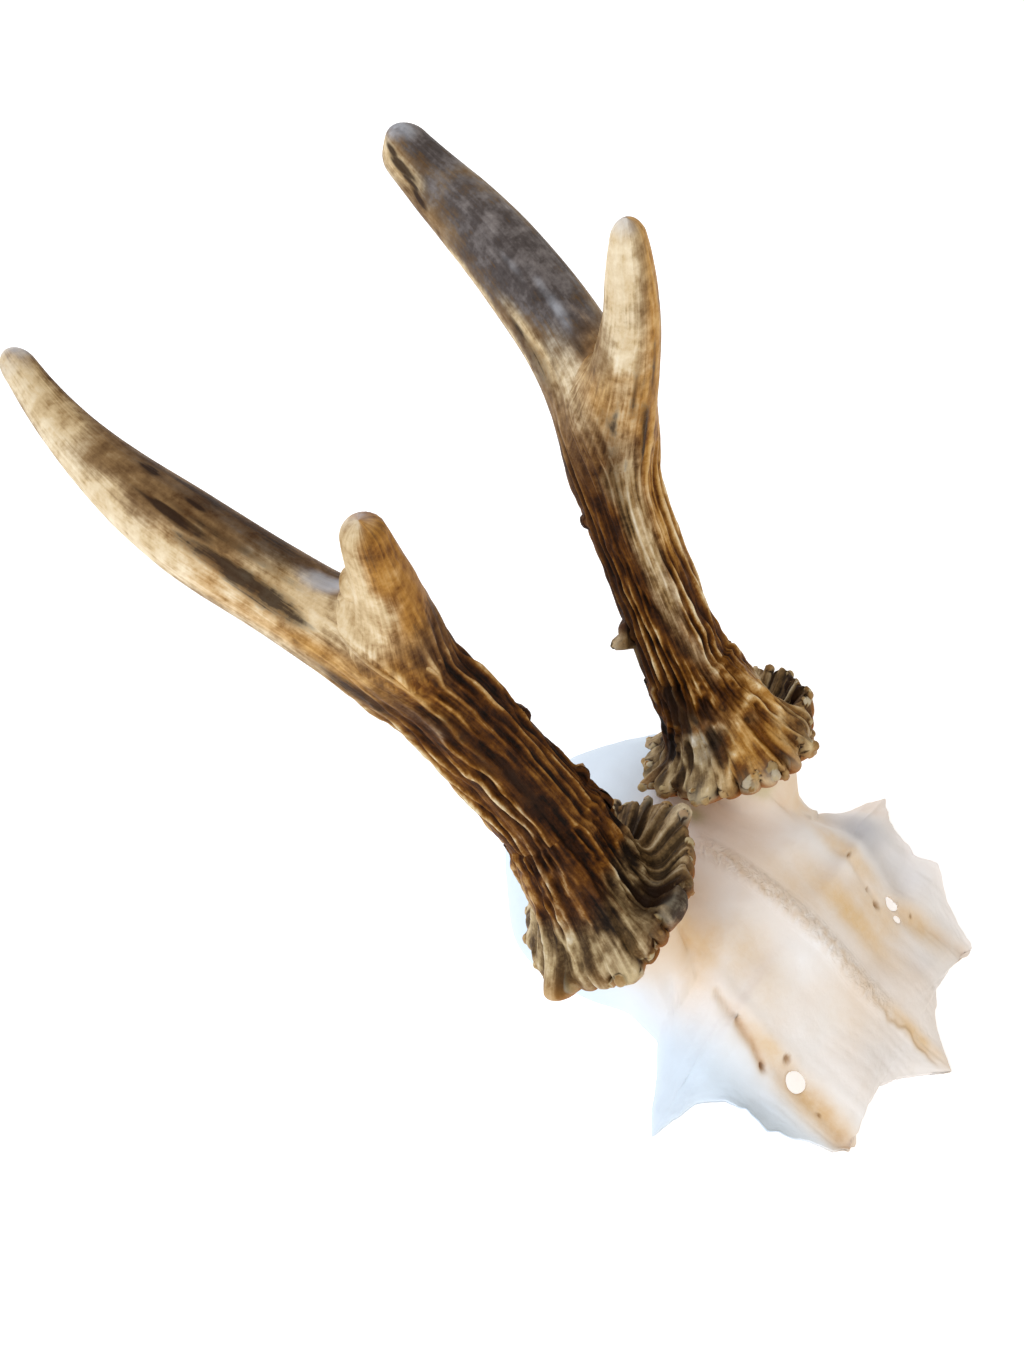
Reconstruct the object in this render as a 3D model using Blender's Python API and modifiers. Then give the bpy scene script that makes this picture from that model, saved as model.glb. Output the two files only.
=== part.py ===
"""Roe deer skull mount: the frontal skull plate with both antlers, resting on its sawn rim.

Metres, +Z up. The nose points to -Y and the animal's left side is +X. The sawn rim lies in the
plane Z = 0, and the origin is the middle of the footprint. The shapes are worked out in skull
axes, whose origin lies on the rim plane between the two pedicles, and an empty carries them all
to the middle of the footprint.
"""
import math

import bmesh
import bpy
import numpy as np

MM = 0.001
GAP = 0.3 * MM
SKULL_SHIFT = (0.0, -17.4 * MM, 0.0)

# Skull plate. Each row is one line over half the plate, from the midline to the rim, in mm:
# rim x, y and z, the y where the line starts on the midline, then the height at half and at
# 87 percent of the way out.
BONE_THICKNESS = 3.0 * MM
PLATE_LINES = (
    (0.0, -67.0, 1.6, -67.0, 1.6, 1.6),
    (6.3, -60.8, 1.9, -62.0, 2.9, 2.1),
    (9.3, -58.9, 2.2, -59.0, 4.0, 2.7),
    (13.0, -57.0, 2.6, -57.0, 5.0, 3.3),
    (20.0, -57.3, 2.2, -55.0, 5.4, 3.0),
    (25.8, -59.0, 1.8, -53.0, 5.6, 2.4),
    (28.0, -56.5, 2.4, -51.0, 7.2, 3.2),
    (30.6, -50.2, 5.4, -47.5, 8.6, 5.6),
    (34.6, -44.6, 10.0, -43.5, 9.8, 8.3),
    (33.4, -39.6, 10.5, -39.5, 13.8, 9.6),
    (35.2, -35.5, 10.5, -36.0, 16.3, 11.4),
    (38.7, -31.4, 8.5, -33.0, 18.6, 11.8),
    (42.4, -29.5, 5.6, -30.0, 20.2, 10.0),
    (47.3, -27.6, 1.6, -27.0, 19.0, 6.6),
    (43.5, -24.8, 1.2, -25.0, 20.6, 7.0),
    (37.4, -21.8, 0.6, -22.5, 23.0, 9.6),
    (30.8, -17.8, -2.0, -19.0, 25.2, 15.5),
    (29.8, -10.0, -2.0, -10.0, 24.8, 15.0),
    (31.6, -1.0, -2.0, 0.0, 22.6, 12.6),
    (32.6, 9.0, -2.0, 9.0, 21.0, 12.3),
    (31.2, 18.6, -2.0, 18.0, 17.3, 10.2),
    (26.0, 27.2, -2.0, 25.5, 13.2, 7.8),
    (14.0, 38.4, -2.0, 34.0, 7.0, 4.0),
    (0.0, 40.0, -2.0, 40.0, -2.0, -2.0),
)
MIDLINE = (
    (-67.0, 1.6), (-61.0, 3.4), (-54.0, 7.6), (-44.0, 14.0), (-38.7, 18.8), (-28.8, 24.0),
    (-20.0, 26.6), (-10.0, 27.0), (0.0, 26.0), (9.0, 24.0), (18.0, 20.0), (25.5, 15.3),
    (34.0, 7.0), (40.0, -2.0),
)
STEPS_BETWEEN_LINES = 2
STEPS_ACROSS_HALF = 7

# Pedicles: the bone stubs under the antlers, from a flared foot in the plate to the burr.
# Its foot is an oval on the plate, given by the plate's lines and the share of the way out.
PEDICLE_FOOT_CENTRE = (17.25, 0.54)
PEDICLE_FOOT_REACH = (1.25, 0.33)
PEDICLE_TOP_RADIUS = 10.6 * MM
PEDICLE_RINGS = 6
PEDICLE_SEGMENTS = 20

# Holes through the bone in front of each orbit: x, y and radius in mm.
FORAMINA = ((-22.1, -43.6, 1.7), (23.2, -41.2, 1.35), (21.0, -43.4, 0.6))

# Antlers, in mm from the skull axes with x counted outwards from the midline. The beam's points
# carry their radius as the fourth number, from the burr to the tip of the rear tine.
RIGHT_ANTLER = {
    "side": -1,
    "beam": (
        (21.9, -0.7, 28.7, 10.6), (22.5, 2.0, 32.8, 10.6), (23.0, 16.0, 49.6, 9.5),
        (24.6, 26.0, 64.6, 8.6), (28.0, 36.0, 79.6, 8.5), (32.6, 43.4, 90.0, 8.0),
        (37.0, 55.0, 99.0, 7.1), (40.2, 68.0, 106.3, 6.5), (41.9, 81.0, 113.0, 5.2),
        (41.8, 92.0, 119.6, 3.7), (40.6, 101.2, 126.8, 2.5),
    ),
    "front_tine": (
        (28.8, 38.5, 85.0, 7.8), (29.2, 37.8, 94.0, 6.8), (29.9, 37.0, 104.0, 5.4),
        (30.8, 36.5, 111.0, 4.2), (31.4, 36.6, 118.0, 3.0), (31.9, 36.9, 124.2, 2.0),
    ),
    "split_height": 104.0,
    "burr_radius": 19.4,
    "burr_teeth": 18,
    "ridges": 7,
    "tip_length": 3.0,
    "pearls": ((21.5, 205.0, 2.6), (28.0, 207.0, 2.2), (45.0, 203.0, 2.2)),
}
LEFT_ANTLER = {
    "side": 1,
    "beam": (
        (21.9, -0.7, 28.7, 10.6), (22.5, 2.0, 32.8, 10.6), (23.0, 16.0, 49.6, 9.0),
        (24.6, 26.0, 64.6, 7.9), (28.0, 36.0, 79.6, 7.9), (32.6, 43.4, 90.0, 9.0),
        (37.0, 55.0, 99.0, 8.4), (40.2, 68.0, 106.3, 8.1), (41.9, 81.0, 113.0, 7.2),
        (41.7, 90.5, 118.7, 6.2), (41.0, 99.0, 124.8, 5.0),
    ),
    "front_tine": (
        (28.9, 39.0, 86.0, 7.8), (29.8, 38.4, 96.0, 6.6), (31.2, 37.6, 106.0, 5.5),
        (31.8, 37.2, 114.0, 4.6), (31.9, 37.7, 123.0, 3.8), (31.9, 38.6, 131.8, 2.2),
    ),
    "split_height": 106.0,
    "burr_radius": 18.6,
    "burr_teeth": 18,
    "ridges": 7,
    "tip_length": 2.0,
    "pearls": ((31.0, 152.0, 3.6), (58.0, 152.0, 1.9)),
}
BEAM_SEGMENTS = 22
BEAM_RINGS = 28
TINE_SEGMENTS = 14
TINE_RINGS = 10
ROOT_RINGS = 5
BURR_SEGMENTS = 54
RIDGE_DEPTH = 0.055
RIDGE_FADE = (0.45, 0.75)
RIDGE_TWIST = 0.5
BURR_TOOTH_DEPTH = 0.075
# The burr's profile: radius as a share of the burr's, height over the antler's foot in mm, and
# how strongly its teeth show there.
BURR_PROFILE = (
    (0.56, 0.0, 0.0), (0.78, 1.3, 0.5), (0.94, 3.2, 1.0), (1.00, 5.0, 1.0),
    (0.94, 6.4, 1.0), (0.76, 7.0, 0.6), (0.60, 9.4, 0.2), (0.42, 13.0, 0.0),
)


def clear_scene():
    for thing in list(bpy.data.objects):
        bpy.data.objects.remove(thing, do_unlink=True)


def new_collection(name):
    collection = bpy.data.collections.new(name)
    bpy.context.scene.collection.children.link(collection)
    return collection


def material(name, colour, roughness):
    """A Principled BSDF with a linear colour; bone and antler are never metallic."""
    made = bpy.data.materials.new(name)
    made.use_nodes = True
    shader = made.node_tree.nodes["Principled BSDF"]
    shader.inputs["Base Color"].default_value = (*colour, 1.0)
    shader.inputs["Roughness"].default_value = roughness
    shader.inputs["Metallic"].default_value = 0.0
    return made


def curve_through(stations, values, at):
    """A smooth curve through values: Hermite pieces whose slopes are those of the neighbours."""
    stations = np.asarray(stations, float)
    values = np.asarray(values, float)
    slopes = np.gradient(values, stations, axis=0)
    place = np.clip(np.searchsorted(stations, at, side="right") - 1, 0, len(stations) - 2)
    width = stations[place + 1] - stations[place]
    t = (at - stations[place]) / width
    if values.ndim > 1:
        width = width[:, None]
        t = t[:, None]
    rise = 3 * t ** 2 - 2 * t ** 3
    leave = t ** 3 - 2 * t ** 2 + t
    arrive = t ** 3 - t ** 2
    return (values[place] * (1 - rise) + values[place + 1] * rise
            + width * (slopes[place] * leave + slopes[place + 1] * arrive))


def mesh_object(name, vertices, faces, collection, surface=None):
    """A mesh object with doubles merged, faces turned outwards and smooth shading."""
    mesh = bpy.data.meshes.new(name)
    mesh.from_pydata([tuple(point) for point in vertices], [], faces)
    shaped = bmesh.new()
    shaped.from_mesh(mesh)
    bmesh.ops.remove_doubles(shaped, verts=shaped.verts, dist=0.00002)
    bmesh.ops.recalc_face_normals(shaped, faces=shaped.faces)
    shaped.to_mesh(mesh)
    shaped.free()
    mesh.shade_smooth()
    mesh.set_sharp_from_angle(angle=math.radians(50))
    thing = bpy.data.objects.new(name, mesh)
    collection.objects.link(thing)
    if surface:
        mesh.materials.append(surface)
    return thing


def boolean(thing, other, operation):
    """Join or cut with another object, which then shows as wires and isn't rendered."""
    step = thing.modifiers.new(f"{operation.lower()} {other.name}", "BOOLEAN")
    step.operation = operation
    step.solver = "EXACT"
    step.object = other
    other.hide_render = True
    other.display_type = "WIRE"


def path_points(points, side, count):
    """Points and radii spaced evenly along a branch, and the length of its chords."""
    rows = np.array(points, float) * MM
    rows[:, 0] *= side
    chords = np.linalg.norm(np.diff(rows[:, :3], axis=0), axis=1)
    along = np.concatenate([[0.0], np.cumsum(chords)])
    smooth = curve_through(along, rows, np.linspace(0.0, along[-1], count))
    return smooth[:, :3], smooth[:, 3], along[-1]


def section_axes(path, side):
    """Unit directions across a path at each point: one outwards from the midline, one rearwards."""
    forward = np.gradient(path, axis=0)
    forward /= np.linalg.norm(forward, axis=1)[:, None]
    outward = np.array([side, 0.0, 0.0]) - forward * (forward[:, :1] * side)
    outward /= np.linalg.norm(outward, axis=1)[:, None]
    rearward = np.cross(forward, outward) * side
    return forward, outward, rearward


def tube_faces(rings, segments):
    """Quads between neighbouring rings and one flat face over each end."""
    faces = []
    for ring in range(rings - 1):
        for step in range(segments):
            after = (step + 1) % segments
            low = ring * segments
            high = low + segments
            faces.append((low + step, low + after, high + after, high + step))
    faces.append(tuple(range(segments))[::-1])
    faces.append(tuple(range((rings - 1) * segments, rings * segments)))
    return faces


def tube(name, path, axes, radii, collection, surface=None):
    """A closed tube along a path; radii holds one number for each ring and segment."""
    outward, rearward = axes
    segments = radii.shape[1]
    angle = np.linspace(0.0, 2 * np.pi, segments, endpoint=False)
    spoke = (outward[:, None] * np.cos(angle)[None, :, None]
             + rearward[:, None] * np.sin(angle)[None, :, None])
    points = path[:, None] + spoke * radii[:, :, None]
    faces = tube_faces(len(path), segments)
    return mesh_object(name, points.reshape(-1, 3), faces, collection, surface)


def round_tip(radius, length, total, share, tip_share=0.12):
    """Radii near the tip follow a quarter ellipse, so the end is round and not cut off."""
    tip = max(length, 0.001)
    left = (1.0 - share) * total
    closing = np.clip(1.0 - left / tip, 0.0, 1.0)
    return radius * np.maximum(np.sqrt(1.0 - closing ** 2), tip_share)


def tip_spacing(count, total, tip):
    """Shares of a length, closer together in the last stretch, where the tip rounds off."""
    tip_rings = 4
    body = np.linspace(0.0, 1.0 - tip / total, count - tip_rings, endpoint=False)
    quarter = np.sin(np.linspace(0.0, np.pi / 2, tip_rings))
    return np.concatenate([body, 1.0 - tip / total * (1.0 - quarter)])


def branch(points, side, count, tip):
    """Path points, radii and shares of length of a branch that ends in a round tip."""
    rows = np.array(points, float) * MM
    rows[:, 0] *= side
    chords = np.linalg.norm(np.diff(rows[:, :3], axis=0), axis=1)
    along = np.concatenate([[0.0], np.cumsum(chords)])
    share = tip_spacing(count, along[-1], tip)
    smooth = curve_through(along, rows, share * along[-1])
    return smooth[:, :3], round_tip(smooth[:, 3], tip, along[-1], share), share, along[-1]


def beam(antler, name, collection, surface):
    """Beam and rear tine in one tube, with long ridges that fade out past the fork."""
    side = antler["side"]
    tip = antler["tip_length"] * MM
    path, radius, share, _ = branch(antler["beam"], side, BEAM_RINGS, tip)
    angle = np.linspace(0.0, 2 * np.pi, BEAM_SEGMENTS, endpoint=False)
    fade = 1.0 - np.clip((share - RIDGE_FADE[0]) / (RIDGE_FADE[1] - RIDGE_FADE[0]), 0.0, 1.0)
    turn = angle[None] * antler["ridges"] + share[:, None] * RIDGE_TWIST * 2 * np.pi
    radii = radius[:, None] * (1.0 + RIDGE_DEPTH * fade[:, None] * np.cos(turn))
    return tube(name, path, section_axes(path, side)[1:], radii, collection, surface)


def burr(antler, name, collection):
    """The crown of teeth round the antler's foot: a turned profile with waves in its edge."""
    side = antler["side"]
    path, _, _ = path_points(antler["beam"], side, 40)
    forward, outward, rearward = section_axes(path, side)
    angle = np.linspace(0.0, 2 * np.pi, BURR_SEGMENTS, endpoint=False)
    spoke = (np.cos(angle)[:, None] * outward[0] + np.sin(angle)[:, None] * rearward[0])
    tooth = np.cos(antler["burr_teeth"] * angle) + 0.5 * np.cos(5 * angle + 1.0)
    rings = []
    for share, height, strength in BURR_PROFILE:
        radius = antler["burr_radius"] * MM * share
        radii = radius * (1.0 + BURR_TOOTH_DEPTH * strength * tooth)
        rings.append(path[0] + forward[0] * height * MM + spoke * radii[:, None])
    faces = tube_faces(len(rings), BURR_SEGMENTS)
    return mesh_object(name, np.concatenate(rings), faces, collection)


def pearls(antler, name, collection):
    """Small lumps that stand out of the beam, each a ball half sunk in its surface.

    Each is given by its height over the foot in mm, its turn in degrees from the outer side
    towards the back, and its radius in mm.
    """
    side = antler["side"]
    path, radius, length = path_points(antler["beam"], side, 200)
    _, outward, rearward = section_axes(path, side)
    lumps = bmesh.new()
    for height, degrees, size in antler["pearls"]:
        ring = int(round(height * MM / length * (len(path) - 1)))
        turn = math.radians(degrees)
        spoke = outward[ring] * math.cos(turn) + rearward[ring] * math.sin(turn)
        made = bmesh.ops.create_icosphere(lumps, subdivisions=2, radius=size * MM)
        bmesh.ops.translate(lumps, verts=made["verts"], vec=path[ring] + spoke * radius[ring])
    mesh = bpy.data.meshes.new(name)
    lumps.to_mesh(mesh)
    lumps.free()
    thing = bpy.data.objects.new(name, mesh)
    collection.objects.link(thing)
    return thing


def front_tine(antler, name, root_name, parts, joined, surface):
    """The front tine above the fork, and its root below it, which is joined to the beam."""
    side = antler["side"]
    tip = 2.6 * MM
    path, radius, share, length = branch(antler["front_tine"], side, 200, tip)
    split = int(np.argmax(path[:, 2] > antler["split_height"] * MM))
    cut = share[split]
    above = cut + GAP / length
    body = np.linspace(above, 1.0 - tip / length, TINE_RINGS - 4, endpoint=False)
    quarter = np.sin(np.linspace(0.0, np.pi / 2, 4))
    upper = np.concatenate([body, 1.0 - tip / length * (1.0 - quarter)])
    lower = np.linspace(0.0, cut, ROOT_RINGS)
    dense = np.concatenate([path, *section_axes(path, side)[1:], radius[:, None]], axis=1)
    made = []
    for label, shares, collection, skin in (
            (name, upper, parts, surface), (root_name, lower, joined, None)):
        rows = np.stack([np.interp(shares, share, column) for column in dense.T], axis=1)
        radii = np.repeat(rows[:, 9:], TINE_SEGMENTS, axis=1)
        axes = (rows[:, 3:6], rows[:, 6:9])
        made.append(tube(label, rows[:, :3], axes, radii, collection, skin))
    return made


def make_antler(antler, word, parts, joined, surface):
    """One antler: beam and rear tine with burr, pearls and fork, then the front tine."""
    main = beam(antler, f"{word}_antler", parts, surface)
    _, root = front_tine(
        antler, f"{word}_front_tine", f"{word} tine root", parts, joined, surface)
    boolean(main, burr(antler, f"{word} burr", joined), "UNION")
    boolean(main, root, "UNION")
    boolean(main, pearls(antler, f"{word} pearls", joined), "UNION")


def plate_surface():
    """Half of the plate's outer surface: lines from the midline out to the rim.

    A line runs out as the sine of a quarter turn, so its points crowd towards the rim, where the
    braincase walls drop. Heights follow a smooth curve through the four given on each line.
    """
    rows = np.array(PLATE_LINES, float)
    midline = np.array(MIDLINE, float)
    count = (len(rows) - 1) * STEPS_BETWEEN_LINES + 1
    at = np.linspace(0.0, len(rows) - 1.0, count)
    index = np.arange(len(rows))
    rim = np.stack([np.interp(at, index, rows[:, column]) for column in range(3)], axis=1)
    start = np.interp(at, index, rows[:, 3])
    ridge = curve_through(midline[:, 0], midline[:, 1], start)
    half = np.interp(at, index, rows[:, 4])
    outer = np.interp(at, index, rows[:, 5])
    step = np.linspace(0.0, 1.0, STEPS_ACROSS_HALF + 1)
    out = np.sin(step * np.pi / 2)
    heights = np.stack([ridge, half, outer, rim[:, 2]])
    height = curve_through(np.array([0.0, 1 / 3, 2 / 3, 1.0]), heights, step).T
    x = rim[:, :1] * out
    y = start[:, None] + (rim[:, 1:2] - start[:, None]) * out
    return np.stack([x, y, height], axis=2) * MM


def skull_plate(parts, joined, surface):
    """The plate: half a surface mirrored, thickened, joined to both pedicles and cut flat."""
    grid = plate_surface()
    lines, across = grid.shape[:2]
    faces = []
    for line in range(lines - 1):
        for step in range(across - 1):
            near = line * across + step
            faces.append((near, near + 1, near + across + 1, near + across))
    plate = mesh_object("skull_plate", grid.reshape(-1, 3), faces, parts, surface)
    if plate.data.polygons[len(plate.data.polygons) // 2].normal.z < 0:
        plate.data.flip_normals()
    mirror = plate.modifiers.new("left half from right", "MIRROR")
    mirror.merge_threshold = 0.00005
    shell = plate.modifiers.new("bone thickness", "SOLIDIFY")
    shell.thickness = BONE_THICKNESS
    shell.offset = -1.0
    for antler, word in ((RIGHT_ANTLER, "right"), (LEFT_ANTLER, "left")):
        boolean(plate, pedicle(antler, f"{word} pedicle", joined), "UNION")
    boolean(plate, foramina("foramina", joined), "DIFFERENCE")
    boolean(plate, saw_cut("saw cut", joined), "DIFFERENCE")
    return plate


def plate_places(grid, line, share):
    """Places on the plate's facets, sunk half the bone's thickness, for lines and shares out."""
    lines = np.clip(np.asarray(line) * STEPS_BETWEEN_LINES, 0, grid.shape[0] - 1.001)
    steps = np.clip(np.asarray(share) * STEPS_ACROSS_HALF, 0, grid.shape[1] - 1.001)
    row = lines.astype(int)
    column = steps.astype(int)
    down = (lines - row)[:, None]
    over = (steps - column)[:, None]
    along = grid[row + 1, column] - grid[row, column]
    across = grid[row, column + 1] - grid[row, column]
    inwards = np.cross(along, across)
    inwards /= np.linalg.norm(inwards, axis=1)[:, None]
    inwards *= -np.sign(inwards[:, 2:])
    near = grid[row, column] * (1 - over) + grid[row, column + 1] * over
    far = grid[row + 1, column] * (1 - over) + grid[row + 1, column + 1] * over
    return near * (1 - down) + far * down + inwards * BONE_THICKNESS / 2


def pedicle(antler, name, collection):
    """A bone stub between the plate and the burr.

    Its foot is an oval that lies inside the bone of the plate, its top the burr's flat seat, and
    each line up its side bends from the one into the other's direction.
    """
    side = antler["side"]
    path, _, _ = path_points(antler["beam"], side, 40)
    forward, outward, rearward = (axis[0] for axis in section_axes(path, side))
    angle = np.linspace(0.0, 2 * np.pi, PEDICLE_SEGMENTS, endpoint=False)
    grid = plate_surface()
    rings = []
    for size in (0.05, 0.4, 0.7, 1.0):
        line = PEDICLE_FOOT_CENTRE[0] + PEDICLE_FOOT_REACH[0] * size * np.sin(angle)
        share = PEDICLE_FOOT_CENTRE[1] + PEDICLE_FOOT_REACH[1] * size * np.cos(angle)
        rings.append(plate_places(grid, line, share) * (side, 1, 1))
    foot = rings[-1]
    spoke = np.cos(angle)[:, None] * outward + np.sin(angle)[:, None] * rearward
    top = path[0] - forward * GAP + spoke * PEDICLE_TOP_RADIUS
    bend = top - forward * np.linalg.norm(top - foot, axis=1)[:, None] * 0.6
    for share in np.linspace(0.0, 1.0, PEDICLE_RINGS)[1:]:
        rings.append(foot * (1 - share) ** 2 + bend * 2 * share * (1 - share) + top * share ** 2)
    faces = tube_faces(len(rings), PEDICLE_SEGMENTS)
    return mesh_object(name, np.concatenate(rings), faces, collection)


def foramina(name, collection):
    """Upright cutters for the holes through the bone, joined in one object."""
    cutters = bmesh.new()
    for x, y, radius in FORAMINA:
        made = bmesh.ops.create_cone(
            cutters, cap_ends=True, segments=12, radius1=radius * MM, radius2=radius * MM,
            depth=40 * MM)
        bmesh.ops.translate(cutters, verts=made["verts"], vec=(x * MM, y * MM, 0.0))
    mesh = bpy.data.meshes.new(name)
    cutters.to_mesh(mesh)
    cutters.free()
    thing = bpy.data.objects.new(name, mesh)
    collection.objects.link(thing)
    return thing


def saw_cut(name, collection):
    """A block under the rim plane, which trims the plate's edge flat."""
    depth = 30 * MM
    block = bmesh.new()
    bmesh.ops.create_cube(block, size=1.0)
    bmesh.ops.scale(block, verts=block.verts, vec=(0.2, 0.2, depth))
    bmesh.ops.translate(block, verts=block.verts, vec=(0.0, 0.0, -depth / 2))
    mesh = bpy.data.meshes.new(name)
    block.to_mesh(mesh)
    block.free()
    thing = bpy.data.objects.new(name, mesh)
    collection.objects.link(thing)
    return thing


def build():
    clear_scene()
    parts = new_collection("roe deer skull mount")
    joined = new_collection("joined shapes and cutters")
    bone = material("bleached bone", (0.78, 0.70, 0.60), 0.62)
    dark = material("weathered antler", (0.13, 0.07, 0.035), 0.5)
    skull_plate(parts, joined, bone)
    make_antler(RIGHT_ANTLER, "right", parts, joined, dark)
    make_antler(LEFT_ANTLER, "left", parts, joined, dark)
    centre = bpy.data.objects.new("skull axes", None)
    centre.location = SKULL_SHIFT
    parts.objects.link(centre)
    for thing in list(parts.objects) + list(joined.objects):
        if thing is not centre:
            thing.parent = centre


build()
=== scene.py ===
"""Roe deer skull mount: a bleached skull plate with both antlers, lying on a pale table.

Shapes are worked out in millimetres in skull axes and then carried to the frame. In skull axes
the sawn rim lies in the plane z = 0, the nose points to -y, the animal's left is +x, and the
origin is on the rim plane between the two pedicles. The frame's origin lies 17.4 mm behind it.

Every antler point is found from three numbers: the height along the antler's centre line in mm,
the turn round it in radians, counted from the outer side towards the back, and the distance
from it in mm. Every plate point is found from a line number, which runs from the nose to the
back of the braincase, and a share of the way from the midline out to the rim.
"""
import math

import bpy
import numpy as np
from mathutils import Matrix, Vector


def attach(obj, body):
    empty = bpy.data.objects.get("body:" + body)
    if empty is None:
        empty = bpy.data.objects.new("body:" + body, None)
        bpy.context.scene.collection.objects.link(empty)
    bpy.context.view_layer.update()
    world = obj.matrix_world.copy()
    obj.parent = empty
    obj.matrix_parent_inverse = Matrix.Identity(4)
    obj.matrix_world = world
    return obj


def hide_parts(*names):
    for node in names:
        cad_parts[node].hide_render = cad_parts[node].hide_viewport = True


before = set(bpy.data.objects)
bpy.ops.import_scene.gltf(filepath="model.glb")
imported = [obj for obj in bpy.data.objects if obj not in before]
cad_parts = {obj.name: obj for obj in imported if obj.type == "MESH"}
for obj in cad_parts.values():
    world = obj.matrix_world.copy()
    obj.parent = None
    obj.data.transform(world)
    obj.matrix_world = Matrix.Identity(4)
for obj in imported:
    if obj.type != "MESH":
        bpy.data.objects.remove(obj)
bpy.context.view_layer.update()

MM = 0.001
SKULL_TO_FRAME = np.array([0.0, -17.4, 0.0])

# Skull plate: rim x, y and z, the y where the line starts on the midline, then the height at
# half and at 87 percent of the way out, all in mm.
PLATE_LINES = (
    (0, -67, 1.6, -67, 1.6, 1.6),
    (6.3, -60.8, 1.9, -62, 2.9, 2.1),
    (9.3, -58.9, 2.2, -59, 4, 2.7),
    (13, -57, 2.6, -57, 5, 3.3),
    (20, -57.3, 2.2, -55, 5.4, 3),
    (25.8, -59, 1.8, -53, 5.6, 2.4),
    (28, -56.5, 2.4, -51, 7.2, 3.2),
    (30.6, -50.2, 5.4, -47.5, 8.6, 5.6),
    (34.6, -44.6, 10, -43.5, 9.8, 8.3),
    (33.4, -39.6, 10.5, -39.5, 13.8, 9.6),
    (35.2, -35.5, 10.5, -36, 16.3, 11.4),
    (38.7, -31.4, 8.5, -33, 18.6, 11.8),
    (42.4, -29.5, 5.6, -30, 20.2, 10),
    (47.3, -27.6, 1.6, -27, 19, 6.6),
    (43.5, -24.8, 1.2, -25, 20.6, 7),
    (37.4, -21.8, 0.6, -22.5, 23, 9.6),
    (30.8, -17.8, 0, -19, 25.2, 15.5),
    (29.8, -10, 0, -10, 24.8, 15),
    (32.6, -1, 0, 0, 22.6, 12.9),
    (34, 9, 0, 9, 21, 12.7),
    (32.2, 18.6, 0, 18, 17.3, 10.4),
    (25.7, 26.4, 0, 25.5, 13.2, 7.8),
    (13.6, 36.6, 0, 33.4, 7, 4),
    (0, 38.8, 0, 38.8, 0, 0),
)
MIDLINE = (
    (-67, 1.6), (-61, 3.4), (-54, 7.6), (-44, 14), (-38.7, 18.8), (-28.8, 24),
    (-20, 26.6), (-10, 27), (0, 26), (9, 24), (18, 20), (25.5, 15.3),
    (34, 6.6), (38.8, 0),
)
PLATE_ROWS = 243
PLATE_HALF_COLUMNS = 84
BONE_AT_RIM = 1.5
BONE_INSIDE = 2.9
THIN_REACH = 3.4
PEDICLE_CENTRE = (17.25, 0.54)
PEDICLE_REACH = (1.5, 0.36)
PEDICLE_TOP_RADIUS = 10.9
PEDICLE_CAP = 0.3
SEAT_RISE = 0.3
# Holes through the bone: x, y, half width, half length and turn in degrees.
HOLES = (
    (-23, -44.6, 2, 1.9, -53),
    (19.9, -41.4, 1.5, 1.7, 39),
    (18.1, -43.9, 0.75, 0.95, 39),
)
# Furrows in the bone: depth and half width in mm, then the x, y points they run through.
FURROWS = (
    (0.7, 0.5, ((-21.8, -24), (-22.6, -27.5), (-23.3, -30.5))),
    (1.1, 0.8, ((-23.3, -30.5), (-23.8, -34.5), (-25.3, -38))),
    (0.5, 1.5, ((-22.6, -28), (-22.9, -34), (-24, -40))),
    (0.9, 2.3, ((-23.3, -42.5), (-23.7, -50.5), (-25.2, -58))),
    (0.35, 0.8, ((19.1, -27), (18.6, -31), (17.6, -35.5), (16.6, -39))),
    (0.6, 2, ((19.9, -42.5), (21, -48), (23.5, -57.5))),
)
# Broad hollows and, with a minus, swellings, given in the same way as the furrows.
HOLLOWS = (
    (2.8, 3.4, ((25.5, -19), (28.5, -26), (27.5, -33), (26, -40))),
    (-0.15, 2.8, ((20.4, -17), (21.8, -24), (21.4, -31), (20.4, -37))),
    (0.9, 3, ((-25, -19), (-28, -26), (-30, -33), (-30.5, -40))),
    (-0.5, 1.4, ((-19.5, -24), (-20.6, -30), (-20.9, -36), (-20.4, -42))),
    (0.6, 4, ((-8, -16), (-9, -26), (-9.5, -38))),
    (0.5, 3.5, ((7.5, -22), (8.5, -34), (8.5, -46))),
)
# Pits in the bone: x, y, radius and depth.
PITS = (
    (-25.6, -38.2, 0.6, 0.8), (-21.3, -41, 0.8, 0.7), (16.2, -39.2, 0.7, 0.9),
    (19.6, -29.6, 0.6, 0.7), (-24.6, -51, 0.4, 0.4),
    (17.2, -36.2, 0.35, 0.5), (21.4, -45.6, 0.35, 0.4),
)
# Warm stains on the bone, with warm painted shadow in front of the right burr and in the hollow beside
# the midline: x, y, reach along x and y in mm, and strength.
WARM_STAINS_AND_SHADOWS = (
    (-17.5, -17.5, 6.5, 5, 1), (-12.5, -23, 6, 7, 0.6), (9.5, -36, 3.6, 12, 1.2),
    (20, -29, 2.4, 9, 0.9), (14.5, -40, 5, 7, 0.8), (20.5, -48, 3.4, 6, 0.9),
    (0.8, -58, 1.6, 8, 1), (24, -17, 5, 5, 0.7),
    (-24.2, -50, 2.8, 9, 1), (4.5, -24, 4, 10, 0.5), (-10, -2, 5, 9, 0.6),
    (-6, -46, 6, 8, 0.3), (5.5, 0, 2, 3, 0.5), (-14, -30, 5, 6, 0.4),
    (-22.4, -37.5, 2.2, 5, 0.9),
)
# Painted bluish grey shade on the bone, strongest on the left flange that is turned away from the
# light, given in the same way as the stains.
SHADES = (
    (30, -28, 5.5, 7, 1.2), (29, -38, 5, 8, 0.6), (22, -52, 6, 5, 0.3),
    (12, -52, 6, 7, 0.35), (-8, -55, 6, 6, 0.35), (2, 16, 22, 12, 0.25),
)
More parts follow.
